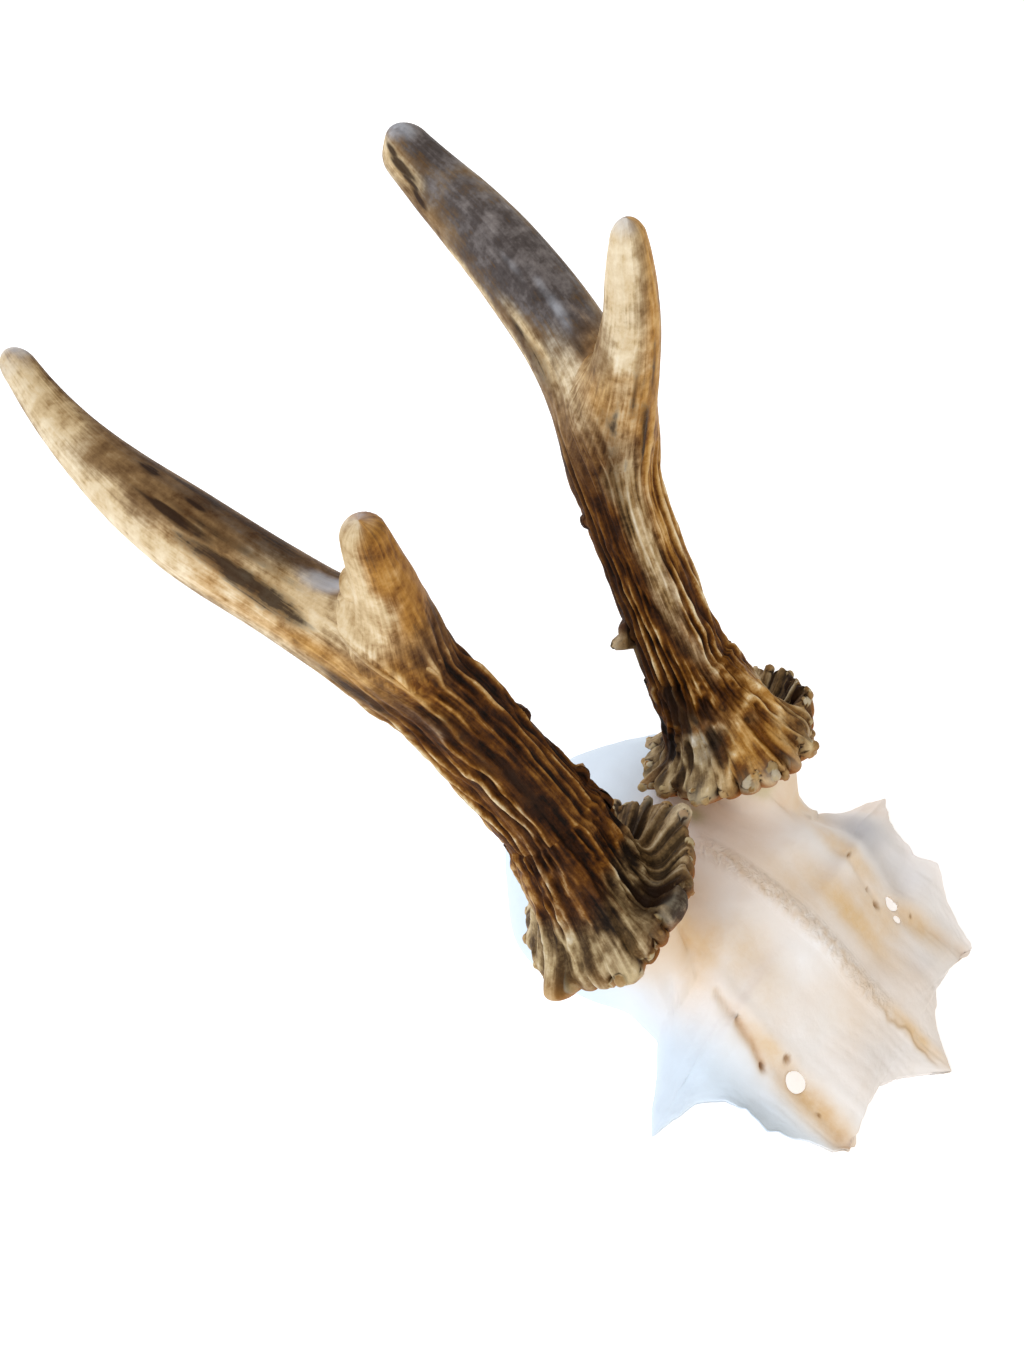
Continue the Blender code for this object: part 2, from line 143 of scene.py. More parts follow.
# Faint green stains, given in the same way.
ALGAE = ((5.5, -0.6, 1.5, 2.4, 1.3), (19.5, -12.5, 2, 1.6, 1), (8, 3.5, 1.2, 1.6, 0.7))

# Antlers, in mm and degrees. "beam" and "front_tine" are centre lines: points outwards from the
# midline, back and up, each with the radius there. "tip" is the length of the rounded end.
# "skirt" and "cup" are profiles of the crown, in pairs of radius and height over the foot: the
# skirt where the beam flows out into the teeth, the cup where a flange stands free, round
# "cup_middle" and as far as "cup_width" from it. "teeth" and "beads" are numbers of them, and
# "flutes" is how much the top of the skirt rises and falls with the teeth. "narrow" is a turn, a
# spread and the depth by which crown and lower beam are slimmed there, and the entry after it is
# the turn where the bark is palest, made paler still there with painted light, as the side the
# light falls on. "pearls" and "dents" are height, turn, radius and rise or depth. The other
# tables are spots: height, turn, reach along the beam, reach round it and strength.
RIGHT_ANTLER = {
    "name": "right_antler",
    "side": -1,
    "seed": 5,
    "beam": (
        (21.9, -0.7, 28.7, 10.6), (22.5, 2, 32.8, 10.6), (23, 16, 49.6, 9.5), (24.6, 26, 64.6, 8.6),
        (28, 36, 79.6, 8.5), (32.6, 43.4, 90, 8), (37, 55, 99, 7.1), (40.2, 68, 106.3, 6.5),
        (41.9, 81, 113, 5.2), (41.8, 92, 119.6, 3.7), (40.6, 101.2, 126.8, 2.5),
    ),
    "front_tine": (
        (29.4, 39.5, 83, 4.6), (29.2, 38.2, 92, 6.6), (29.9, 37, 104, 5.4), (30.9, 36.3, 111, 4.3),
        (31.5, 36.2, 117, 3.5), (31.9, 36.2, 121.9, 2.8),
    ),
    "tip": 3,
    "skirt": (
        (9.6, 0), (15, 0.2), (19, 1.4), (20.8, 3.2), (20, 5), (17, 7.4), (14.4, 11), (12.6, 15.5),
        (11, 21), (10, 26),
    ),
    "cup": (
        (9.6, 0), (14.2, 0.8), (17.6, 3), (19.7, 6), (19.4, 7.8), (16, 6.8), (12, 5.6), (10.3, 8.6),
        (9.9, 16.5), (10, 26),
    ),
    "cup_middle": 208,
    "cup_width": 76,
    "teeth": 25,
    "beads": 60,
    "flutes": 1.1,
    "narrow": (66, 44, 2.8),
    "pale_lit_side": 20,
    "pearls": (
        (21.5, 205, 2.4, 2), (28.5, 205, 2, 1.9), (46, 201, 2.1, 1.6), (48.5, 208, 1.3, 0.9),
        (24.3, 214, 1.2, 0.9), (18.5, 200, 1.5, 1),
    ),
    "dents": (),
    "tine_pearls": ((25, 50, 2.6, 1.3),),
    "dark": (
        # the first spot is painted shade in the hollow between the beam and the cup
        (6, 262, 3, 14, 0.9), (48, 206, 34, 22, 0.45), (111, 284, 7, 9, 1.1),
        (97.5, 300, 9.5, 11, 0.95), (92, 304, 8, 12, 0.8), (117.6, 243, 2.6, 12, 1),
        (108.7, 252, 3, 8, 0.9), (105, 270, 14, 8, 0.6), (84, 225, 8, 16, 0.6), (74, 345, 10, 12, 0.7),
        (56, 300, 12, 14, 0.6), (40, 292, 14, 10, 0.6), (106, 226, 24, 15, 0.7),
    ),
    "bare": (
        (120, 345, 24, 46, 1), (137, 300, 12, 80, 1), (2, 345, 3.5, 70, 0.6), (92, 0, 14, 26, 0.5),
        (87, 285, 9, 30, 1), (5, 212, 8, 56, 0.5),
    ),
    "ochre": (
        (68, 290, 14, 24, 0.7), (100, 330, 18, 34, 0.9), (30, 262, 14, 12, 0.5), (84, 320, 12, 26, 0.7),
    ),
    "slate": (
        (108, 242, 24, 20, 0.5), (94, 250, 8, 22, 0.6), (6, 222, 8, 52, 0.35), (62, 316, 9, 14, 0.5),
        (26, 320, 16, 30, 0.35),
    ),
    # painted bluish highlight by the crotch, and the pale grey tip all round
    "sheen_and_pale_tip": ((86.5, 246, 4, 18, 1), (147.5, 220, 3.6, 400, 1)),
    "tine_dark": (
        (12, 246, 9, 12, 1.1), (20, 150, 12, 30, 0.5), (30, 80, 5, 12, 0.6), (8, 300, 6, 8, 0.7),
    ),
    "tine_bare": ((24, 20, 18, 62, 1.5), (14, 330, 9, 40, 0.8)),
    "tine_ochre": ((24, 250, 22, 400, 1),),
    "tine_slate": ((37, 90, 4, 90, 0.9),),
    "tine_sheen_and_pale_tip": ((40.5, 120, 2.4, 140, 0.8),),
}
LEFT_ANTLER = {
    "name": "left_antler",
    "side": 1,
    "seed": 23,
    "beam": (
        (21.9, -0.7, 28.7, 10.6), (22.5, 2, 32.8, 10.6), (23, 16, 49.6, 9), (24.6, 26, 64.6, 7.9),
        (28, 36, 79.6, 7.9), (32.6, 43.4, 90, 9), (37, 55, 99, 8.3), (40.2, 68, 106.3, 7.9),
        (41.9, 81, 113, 7), (41.7, 90.5, 118.7, 5.8), (41, 99, 124.8, 4.4),
    ),
    "front_tine": (
        (29.4, 40, 84, 4.6), (29.7, 38.8, 93.5, 6.5), (31.2, 37.6, 106, 5.5), (31.8, 37.2, 114, 4.6),
        (31.9, 37.7, 123, 3.8), (31.9, 38.6, 131.8, 2.2),
    ),
    "tip": 5,
    "skirt": (
        (9.6, 0), (14.6, 0.2), (17.4, 1.6), (18.7, 3.6), (18.2, 5.4), (15.6, 7.6), (13.2, 11),
        (11.8, 15.5), (10.8, 20), (9.9, 25),
    ),
    "cup": (
        (9.6, 0), (14, 1), (16.8, 3.6), (18.4, 6.6), (18, 8.4), (15.2, 7.2), (12.2, 6.2), (10.9, 9.5),
        (10.4, 16), (9.9, 25),
    ),
    "cup_middle": 5,
    "cup_width": 62,
    "teeth": 26,
    "beads": 90,
    "flutes": 0.45,
    "narrow": (80, 42, 0),
    "pale_lit_side": 280,
    "pearls": (
        (36.2, 146, 2.8, 1.9), (34.9, 146, 1.7, 4.4), (60, 148, 1.7, 1.3), (12, 250, 1.4, 0.8),
        (17, 236, 1.2, 0.7),
    ),
    "dents": ((146.4, 155, 3, 3.4), (133, 186, 2.4, 0.7)),
    "tine_pearls": (),
    "dark": (
        (14, 120, 12, 50, 0.4), (42, 165, 32, 28, 0.6), (137, 201, 3.6, 13, 1.3),
        (139.6, 208, 2.4, 10, 1), (134, 192, 2.8, 8, 1), (130.5, 184, 3, 7, 1), (74, 258, 9, 5, 1),
        (82, 250, 6, 16, 0.62), (92, 186, 12, 16, 0.6), (68, 230, 16, 24, 0.5), (34, 285, 9, 22, 0.4),
        (88, 243, 4, 8, 0.62), (80, 249, 5, 7, 0.95), (84, 262, 6, 7, 0.65), (76, 234, 5, 7, 0.62),
        (98, 184, 5, 9, 0.8), (114, 322, 26, 24, 0.75), (22, 195, 8, 22, 0.9), (70, 150, 12, 16, 0.7),
    ),
    "bare": (
        (138, 196, 6, 26, 1), (110, 158, 20, 14, 0.8), (84, 218, 12, 24, 0.6), (56, 240, 24, 24, 0.9),
        (34.9, 146, 2.6, 12, 1), (93, 194, 12, 16, 0.8), (5, 5, 9, 55, 0.45), (3, 270, 4, 60, 0.4),
    ),
    "ochre": (
        (64, 268, 24, 18, 0.9), (66, 300, 20, 24, 0.8), (8, 270, 6, 60, 0.55), (14, 286, 8, 22, 0.8),
        (78, 272, 11, 50, 1), (7, 245, 8, 40, 1),
    ),
    "slate": (
        (110, 248, 24, 70, 1.4), (136, 270, 12, 60, 1), (12, 215, 7, 40, 0.5),
    ),
    # painted bluish highlight by the crotch, and the pale grey top of the tip
    "sheen_and_pale_tip": (
        (98, 246, 7, 9, 0.7), (107, 232, 6, 8, 0.4), (143, 256, 3.6, 40, 1.1),
    ),
    "tine_dark": (
        (8, 285, 9, 60, 0.6), (15, 208, 5, 9, 0.62), (21, 232, 7, 7, 0.6), (9, 250, 5, 10, 0.8),
        (24, 268, 7, 9, 0.6), (12, 186, 5, 8, 0.6), (22, 300, 16, 12, 0.7), (5, 228, 4, 8, 0.8),
    ),
    "tine_bare": ((42, 180, 14, 56, 1.4), (20, 215, 12, 30, 0.4)),
    "tine_ochre": ((32, 305, 24, 50, 1.4), (12, 260, 14, 120, 1)),
    "tine_slate": (),
    "tine_sheen_and_pale_tip": ((49.4, 170, 3, 120, 1.2),),
}
SPOT_KINDS = ("dark", "bare", "ochre", "slate", "sheen_and_pale_tip")
BEAM_COLUMNS = 336
CROWN_ROWS = 92
BEAM_ROWS = 180
TIP_ROWS = 12
TINE_COLUMNS = 180
TINE_ROWS = 118
TINE_TIP = 2.6
# The fork lies between these heights on the beam; the tine's ridges count on from TINE_START.
FORK_HEIGHTS = (60.0, 110.0)
TINE_START = 74.0
FORK_REACH = 7.0
TOOTH_REACH = 4.2
TOOTH_LENGTH = 1.6
PLEAT_DEPTH = 0.36
# Antler tones from the grooves to the crests, as places on a ramp and their colours.
TONES = {
    "bark": ((0, "#120701"), (0.18, "#331803"), (0.4, "#5a3206"), (0.6, "#825319"),
             (0.8, "#ba9259"), (1, "#ecdab2")),
    "taupe": ((0, "#28180a"), (0.25, "#573b1e"), (0.5, "#896d48"), (0.75, "#b8a17b"),
              (1, "#e0d4bb")),
    "chalk": ((0, "#1f140a"), (0.22, "#4e3a22"), (0.42, "#846c48"), (0.65, "#bda67c"),
              (1, "#f2e9d0")),
    "slate": ((0, "#130e0b"), (0.3, "#302824"), (0.55, "#524a47"), (0.8, "#827a76"),
              (1, "#c9c3bf")),
    "ochre": ((0, "#3a1d06"), (0.25, "#734410"), (0.5, "#ac7a35"), (0.75, "#d2a868"),
              (1, "#efdab0")),
    "bare": ((0, "#5e4626"), (0.25, "#a28152"), (0.5, "#d2b98f"), (0.75, "#ead9b9"),
             (1, "#f6ecd8")),
}
BEAD_TONES = ((0, "#7a4f22"), (0.3, "#b89058"), (0.6, "#dcc592"), (0.85, "#f0e4c6"), (1, "#b87c2f"))
# Layers of the bone: the field, how far fine noise breaks it up, its strength and its colour.
# The bluish layer is painted light and shade, the grey one painted shade, the pedicle one painted
# warm bounce light and the pit one painted shade; the warm one holds stains and some painted
# warm shadow.
BONE_LAYERS = (
    ("painted_cool_light", 0, 0.8, "#d1e4f4"), ("shade", 0, 0.8, "#c9c9cd"), ("warm", 1, 0.25, "#e3c08a"),
    ("green", 1, 0.1, "#b3b888"),
    ("channel", 1, 0.3, ((0, "#e6c48f"), (0.6, "#cf9f5f"), (1, "#a86f30"))),
    ("seam", 0, 0.7, "#cfae80"), ("pedicle", 0, 0.35, "#ecc58a"), ("pit", 0, 0.5, "#6b4a2f"),
)


def smooth(t):
    """A step that leaves 0 and reaches 1 without a kink."""
    return t * t * (3.0 - 2.0 * t)


def ease(value, start, end):
    """0 before start, 1 after end, a smooth step between."""
    return smooth(np.clip((value - start) / (end - start), 0.0, 1.0))


def value_noise(u, v, around, seed):
    """Random heights from -1 to 1 on a lattice, joined by smooth steps.

    A lattice cell is 1 wide along u and v, and along u the pattern repeats after `around` cells.
    """
    table = np.random.default_rng(seed).uniform(-1.0, 1.0, (around, 97))
    column = np.floor(u).astype(int)
    row = np.floor(v).astype(int)
    over = smooth(u - column)
    up = smooth(v - row)
    left = column % around
    right = (column + 1) % around
    low = row % 97
    high = (row + 1) % 97
    lower = table[left, low] * (1 - over) + table[right, low] * over
    upper = table[left, high] * (1 - over) + table[right, high] * over
    return lower * (1 - up) + upper * up


def ring_noise(turn, height, around, seed, bend=0.0):
    """Noise round an antler, with `around` cells in the whole turn, shifted by `bend` cells."""
    return value_noise(turn / (2 * np.pi) * around + bend, height, around, seed)


def sheet_noise(x, y, seed):
    """Noise over the plate, which repeats too far out to be seen."""
    return value_noise(x, y, 997, seed)


def spots(x, y, rows):
    """Soft spots on the plate: the greatest of the bell curves of x, y, two reaches, strength."""
    total = np.zeros(x.shape)
    for middle_x, middle_y, reach_x, reach_y, strength in rows:
        away = ((x - middle_x) / reach_x) ** 2 + ((y - middle_y) / reach_y) ** 2
        total = np.maximum(total, strength * np.exp(-away))
    return total


def curve_through(stations, values, at):
    """A smooth curve through values: Hermite pieces whose slopes are those of the neighbours."""
    stations = np.asarray(stations, float)
    values = np.asarray(values, float)
    slopes = np.gradient(values, stations, axis=0)
    place = np.clip(np.searchsorted(stations, at, side="right") - 1, 0, len(stations) - 2)
    width = stations[place + 1] - stations[place]
    t = (at - stations[place]) / width
    extra = (1,) * (values.ndim - 1)
    width = width.reshape(width.shape + extra)
    t = t.reshape(t.shape + extra)
    rise = 3 * t ** 2 - 2 * t ** 3
    leave = t ** 3 - 2 * t ** 2 + t
    arrive = t ** 3 - t ** 2
    return (values[place] * (1 - rise) + values[place + 1] * rise
            + width * (slopes[place] * leave + slopes[place + 1] * arrive))


def unit(vectors):
    """The same directions with length 1."""
    return vectors / np.maximum(np.linalg.norm(vectors, axis=-1, keepdims=True), 1e-9)


def normals(points, closed):
    """Directions square to a grid of points, from the cross product of its two slopes."""
    down = np.gradient(points, axis=0)
    if closed:
        over = (np.roll(points, -1, axis=1) - np.roll(points, 1, axis=1)) / 2
    else:
        over = np.gradient(points, axis=1)
    return unit(np.cross(over, down))


def grid_quads(rows, columns, closed):
    """Corner numbers of the faces between neighbouring rows and columns of a grid."""
    last = columns if closed else columns - 1
    row, column = np.meshgrid(np.arange(rows - 1), np.arange(last), indexing="ij")
    after = (column + 1) % columns
    corners = (row * columns + column, row * columns + after,
               (row + 1) * columns + after, (row + 1) * columns + column)
    return np.stack(corners, axis=-1).reshape(-1, 4)


def in_scene(name, data):
    """A new object in the scene."""
    made = bpy.data.objects.new(name, data)
    bpy.context.scene.collection.objects.link(made)
    return made


def mesh_piece(name, points, faces, fields, material):
    """A smooth mesh in the frame, from points in skull axes in mm, with numbers kept per vertex."""
    mesh = bpy.data.meshes.new(name)
    mesh.from_pydata(((points + SKULL_TO_FRAME) * MM).tolist(), [], faces)
    mesh.validate()
    mesh.shade_smooth()
    for label, values in fields.items():
        kind, key = ("FLOAT_VECTOR", "vector") if values.ndim == 2 else ("FLOAT", "value")
        layer = mesh.attributes.new(label, kind, "POINT")
        layer.data.foreach_set(key, values.astype(np.float32).ravel())
    mesh.materials.append(material)
    return in_scene(name, mesh)


def skin_normals(points, side):
    """Directions out of a closed tube of rings; the mirrored side needs them turned round."""
    return normals(points, True) * side


def tube_piece(name, points, fields, material):
    """A closed tube from rings of points; a point in the middle of each end ring closes it."""
    rows, columns = points.shape[:2]
    quads = grid_quads(rows, columns, True)
    count = rows * columns
    around = np.arange(columns)
    after = (around + 1) % columns
    first = np.stack([after, around, np.full(columns, count)], axis=1)
    last = np.stack([around + count - columns, after + count - columns,
                     np.full(columns, count + 1)], axis=1)
    ends = np.stack([points[0].mean(axis=0), points[-1].mean(axis=0)])
    vertices = np.concatenate([points.reshape(-1, 3), ends])
    kept = {}
    for label, values in fields.items():
        flat = values.reshape((count,) + values.shape[2:])
        kept[label] = np.concatenate(
            [flat, values[0].mean(axis=0)[None], values[-1].mean(axis=0)[None]])
    faces = quads.tolist() + first.tolist() + last.tolist()
    return mesh_piece(name, vertices, faces, kept, material)


class CentreLine:
    """A smooth line through the given points, with its radius and the axes across it."""

    def __init__(self, rows, side):
        rows = np.array(rows, float)
        rows[:, 0] *= side
        chords = np.linalg.norm(np.diff(rows[:, :3], axis=0), axis=1)
        along = np.concatenate([[0.0], np.cumsum(chords)])
        self.length = along[-1]
        self.at = np.linspace(0.0, self.length, 500)
        line = curve_through(along, rows, self.at)
        forward = unit(np.gradient(line[:, :3], axis=0))
        outward = unit(np.array([side, 0.0, 0.0]) - forward * (forward[:, :1] * side))
        rearward = np.cross(forward, outward) * side
        self.table = np.concatenate([line, forward, outward, rearward], axis=1)

    def look_up(self, height):
        """Place, radius and the three axes at heights; beyond the ends the line runs on straight."""
        inside = np.clip(height, 0.0, self.length)
        found = np.stack([np.interp(inside, self.at, column) for column in self.table.T], axis=-1)
        beyond = (height - inside)[..., None]
        forward = found[..., 4:7]
        return (found[..., :3] + forward * beyond, found[..., 3], forward,
                found[..., 7:10], found[..., 10:13])

    def points(self, height, turn, distance):
        """Points at a height along the line, a turn round it and a distance from it."""
        place, _, _, outward, rearward = self.look_up(height)
        spoke = outward * np.cos(turn)[..., None] + rearward * np.sin(turn)[..., None]
        return place + spoke * distance[..., None]


def coordinates(line, points):
    """Height along a centre line and turn round it of the place nearest to each point."""
    path = line.table[::2]
    away = points.reshape(-1, 1, 3) - path[None, :, :3]
    nearest = (away ** 2).sum(axis=2).argmin(axis=1)
    away = away[np.arange(len(nearest)), nearest]
    found = path[nearest]
    height = line.at[::2][nearest] + (away * found[:, 4:7]).sum(axis=1)
    turn = np.arctan2((away * found[:, 10:13]).sum(axis=1), (away * found[:, 7:10]).sum(axis=1))
    return height.reshape(points.shape[:-1]), turn.reshape(points.shape[:-1]) % (2 * np.pi)


def turn_gap(turn, degrees):
    """How far a turn is from a direction, in degrees from 0 to 180."""
    return np.abs((np.degrees(turn) - degrees + 180.0) % 360.0 - 180.0)


def patches(height, turn, rows, wobble):
    """Soft spots on an antler: height, turn in degrees, reach along and round, and strength.

    A spot falls off as the bell curve of its distance, which `wobble` makes uneven.
    """
    total = np.zeros_like(height)
    for middle, degrees, reach, spread, strength in rows:
        away = ((height - middle) / reach) ** 2 + (turn_gap(turn, degrees) / spread) ** 2
        total = np.maximum(total, strength * np.exp(-away * (1.0 + 0.8 * wobble)))
    return total


def grain(turn, height, around, seed):
    """Height of the long ridges and grooves round a beam, and how much of a crest each point is.

    Broad swells and narrow ridges run along the beam as powers of cosines of the turn. Slow noise
    bends each family its own way, so that ridges join and part, quick noise crinkles them, and
    other noise lets every narrow ridge swell and die out along its length.
    """
    share = turn / (2 * np.pi)
    count = 2 * around + 5
    bend = 0.9 * ring_noise(turn, height / 26.0, 3, seed + 1) + height / 120.0
    lean = 1.5 * ring_noise(turn, height / 27.0, 4, seed + 3) - height / 150.0
    lean = lean + 0.34 * ring_noise(turn, height / 4.6, 8, seed + 2)
    broad = 0.5 + 0.5 * np.cos(2 * np.pi * (share * around + bend))
    narrow = (0.5 + 0.5 * np.cos(2 * np.pi * (share * count + lean))) ** 2.4
    life = 0.7 + 0.75 * ring_noise(turn, height / 19.0, count, seed + 5, lean)
    narrow = narrow * np.clip(life, 0.08, 1.3)
    hill = ring_noise(turn, height / 24.0, 4, seed + 6, bend / 3)
    rough = value_noise(share * 5 * around, height / 2.2, 5 * around, seed + 7)
    ridge = 0.4 * hill + 0.55 * broad + 0.85 * narrow + 0.17 * rough - 0.62
    return ridge, np.clip(0.3 * broad + 0.8 * narrow + 0.2 * rough, 0.0, 1.0)


def tooth_outline(turn, count, seed):
    """The burr's teeth: how full the outline is at each turn, and each tooth's own length.

    Teeth differ in width by up to a half, each is a half circle between two clefts that differ
    in depth, and about one tooth in six is worn down to a stump.
    """
    random = np.random.default_rng(seed)
    widths = random.uniform(0.4, 1.6, count)
    edges = np.concatenate([[0.0], np.cumsum(widths)]) / widths.sum() * 2 * np.pi
    lengths = random.uniform(-1.0, 1.0, count) - 1.3 * (random.uniform(0.0, 1.0, count) < 0.17)
    depths = random.uniform(0.35, 1.25, count)
    tooth = np.clip(np.searchsorted(edges, turn % (2 * np.pi), side="right") - 1, 0, count - 1)
    across = (turn % (2 * np.pi) - edges[tooth]) / (edges[tooth + 1] - edges[tooth]) * 2 - 1
    full = 1.0 - (1.0 - np.sqrt(np.clip(1.0 - across ** 2, 0.0, 1.0))) * depths[tooth]
    return full, lengths[tooth]


def raise_balls(points, outwards, balls, dents):
    """Rounded lumps and dents, each point's lump's number from 0 to 1, and painted shadow round lumps.

    A point rises along its normal to the surface of a ball set in the skin, or sinks by a bell
    curve of its distance from a dent. The painted shadow round lumps is a bell curve round 1.15
    radii from a ball, kept only where the skin does not rise.
    """
    rise = np.zeros(points.shape[:-1])
    number = np.zeros(points.shape[:-1])
    bead_shadow = np.zeros(points.shape[:-1])
    for middle, radius, height, own in balls:
        away = np.linalg.norm(points - middle, axis=-1) / radius
        lump = height * np.sqrt(np.clip(1.0 - away ** 2, 0.0, 1.0))
        number = np.where(lump > rise, own, number)
        rise = np.maximum(rise, lump)
        bead_shadow = np.maximum(bead_shadow, np.exp(-((away - 1.15) / 0.22) ** 2))
    for middle, radius, depth in dents:
        away = np.linalg.norm(points - middle, axis=-1) / radius
        rise = rise - depth * np.exp(-away ** 2)
    return points + outwards * rise[..., None], rise, number, bead_shadow * (rise <= 0)


def rounded_end(line, start, body_rows, tip, tip_rows):
    """Heights from start to the end of a line, with radii that close like a ball over the tip."""
    body = np.linspace(start, line.length - tip, body_rows)
    quarter = np.linspace(0.0, np.pi / 2, tip_rows + 1)[1:]
    height = np.concatenate([body, line.length - tip * (1 - np.sin(quarter))])
    closing = np.concatenate([np.ones(body_rows), np.maximum(np.cos(quarter), 0.04)])
    return height, line.look_up(height)[1] * closing


def tube_distance(points, line, start):
    """Distance of points from a tube's surface, and the direction away from its centre line."""
    keep = line.at >= start
    path = line.table[keep, :3][::2]
    radius = line.table[keep, 3][::2]
    away = points[:, None] - path[None]
    distance = np.linalg.norm(away, axis=2) - radius[None]
    nearest = distance.argmin(axis=1)
    rows = np.arange(len(points))
    return distance[rows, nearest], unit(away[rows, nearest])


def round_fork(points, own, other, reach):
    """Fills the fork between two tubes with a smooth web.

    A point moves outwards until the smooth minimum of its distances from both tubes is zero:
    the lesser distance less h * h / (4 * reach), where h is reach less their difference.
    """
    flat = points.reshape(-1, 3)
    gap, _ = tube_distance(flat, *other)
    near = np.flatnonzero(gap < reach)
    moved = flat[near]
    first, _ = tube_distance(moved, *own)
    inside = np.exp(np.minimum(gap[near], 0.0) / 2.0)
    for _ in range(5):
        mine, away = tube_distance(moved, *own)
        mine = mine - first
        theirs, apart = tube_distance(moved, *other)
        theirs = np.maximum(theirs, 0.0)
        overlap = np.maximum(reach - np.abs(mine - theirs), 0.0)
        value = np.minimum(mine, theirs) - overlap ** 2 / (4 * reach)
        share = overlap / (2 * reach)
        share = np.where(mine < theirs, share, 1.0 - share)
        slope = away * (1 - share)[:, None] + apart * share[:, None]
        step = value / np.maximum((slope ** 2).sum(axis=1), 0.15)
        moved = moved - slope * (step * inside)[:, None]
    result = flat.copy()
    result[near] = moved
    return result.reshape(points.shape)


def crown_profile(antler, turn):
    """Distance and height of the crown's rows at each turn, from the seat to the beam.

    The skirt's profile is mixed into the cup's round the middle of the cup.
    """
    skirt = np.array(antler["skirt"], float)
    cup = np.array(antler["cup"], float)
    station = np.arange(len(skirt), dtype=float)
    at = np.linspace(0.0, station[-1], CROWN_ROWS)
    sides = curve_through(station, np.concatenate([skirt, cup], axis=1), at)
    gap = turn_gap(turn, antler["cup_middle"])
    gap = gap + 9.0 * ring_noise(turn, turn * 0, 9, antler["seed"] + 40)
    mix = 1.0 - ease(gap, antler["cup_width"] * 0.72, antler["cup_width"] * 1.15)
    profile = sides[:, None, :2] * (1 - mix)[None, :, None] + sides[:, None, 2:] * mix[None, :, None]
    return profile[..., 0], profile[..., 1], at, mix


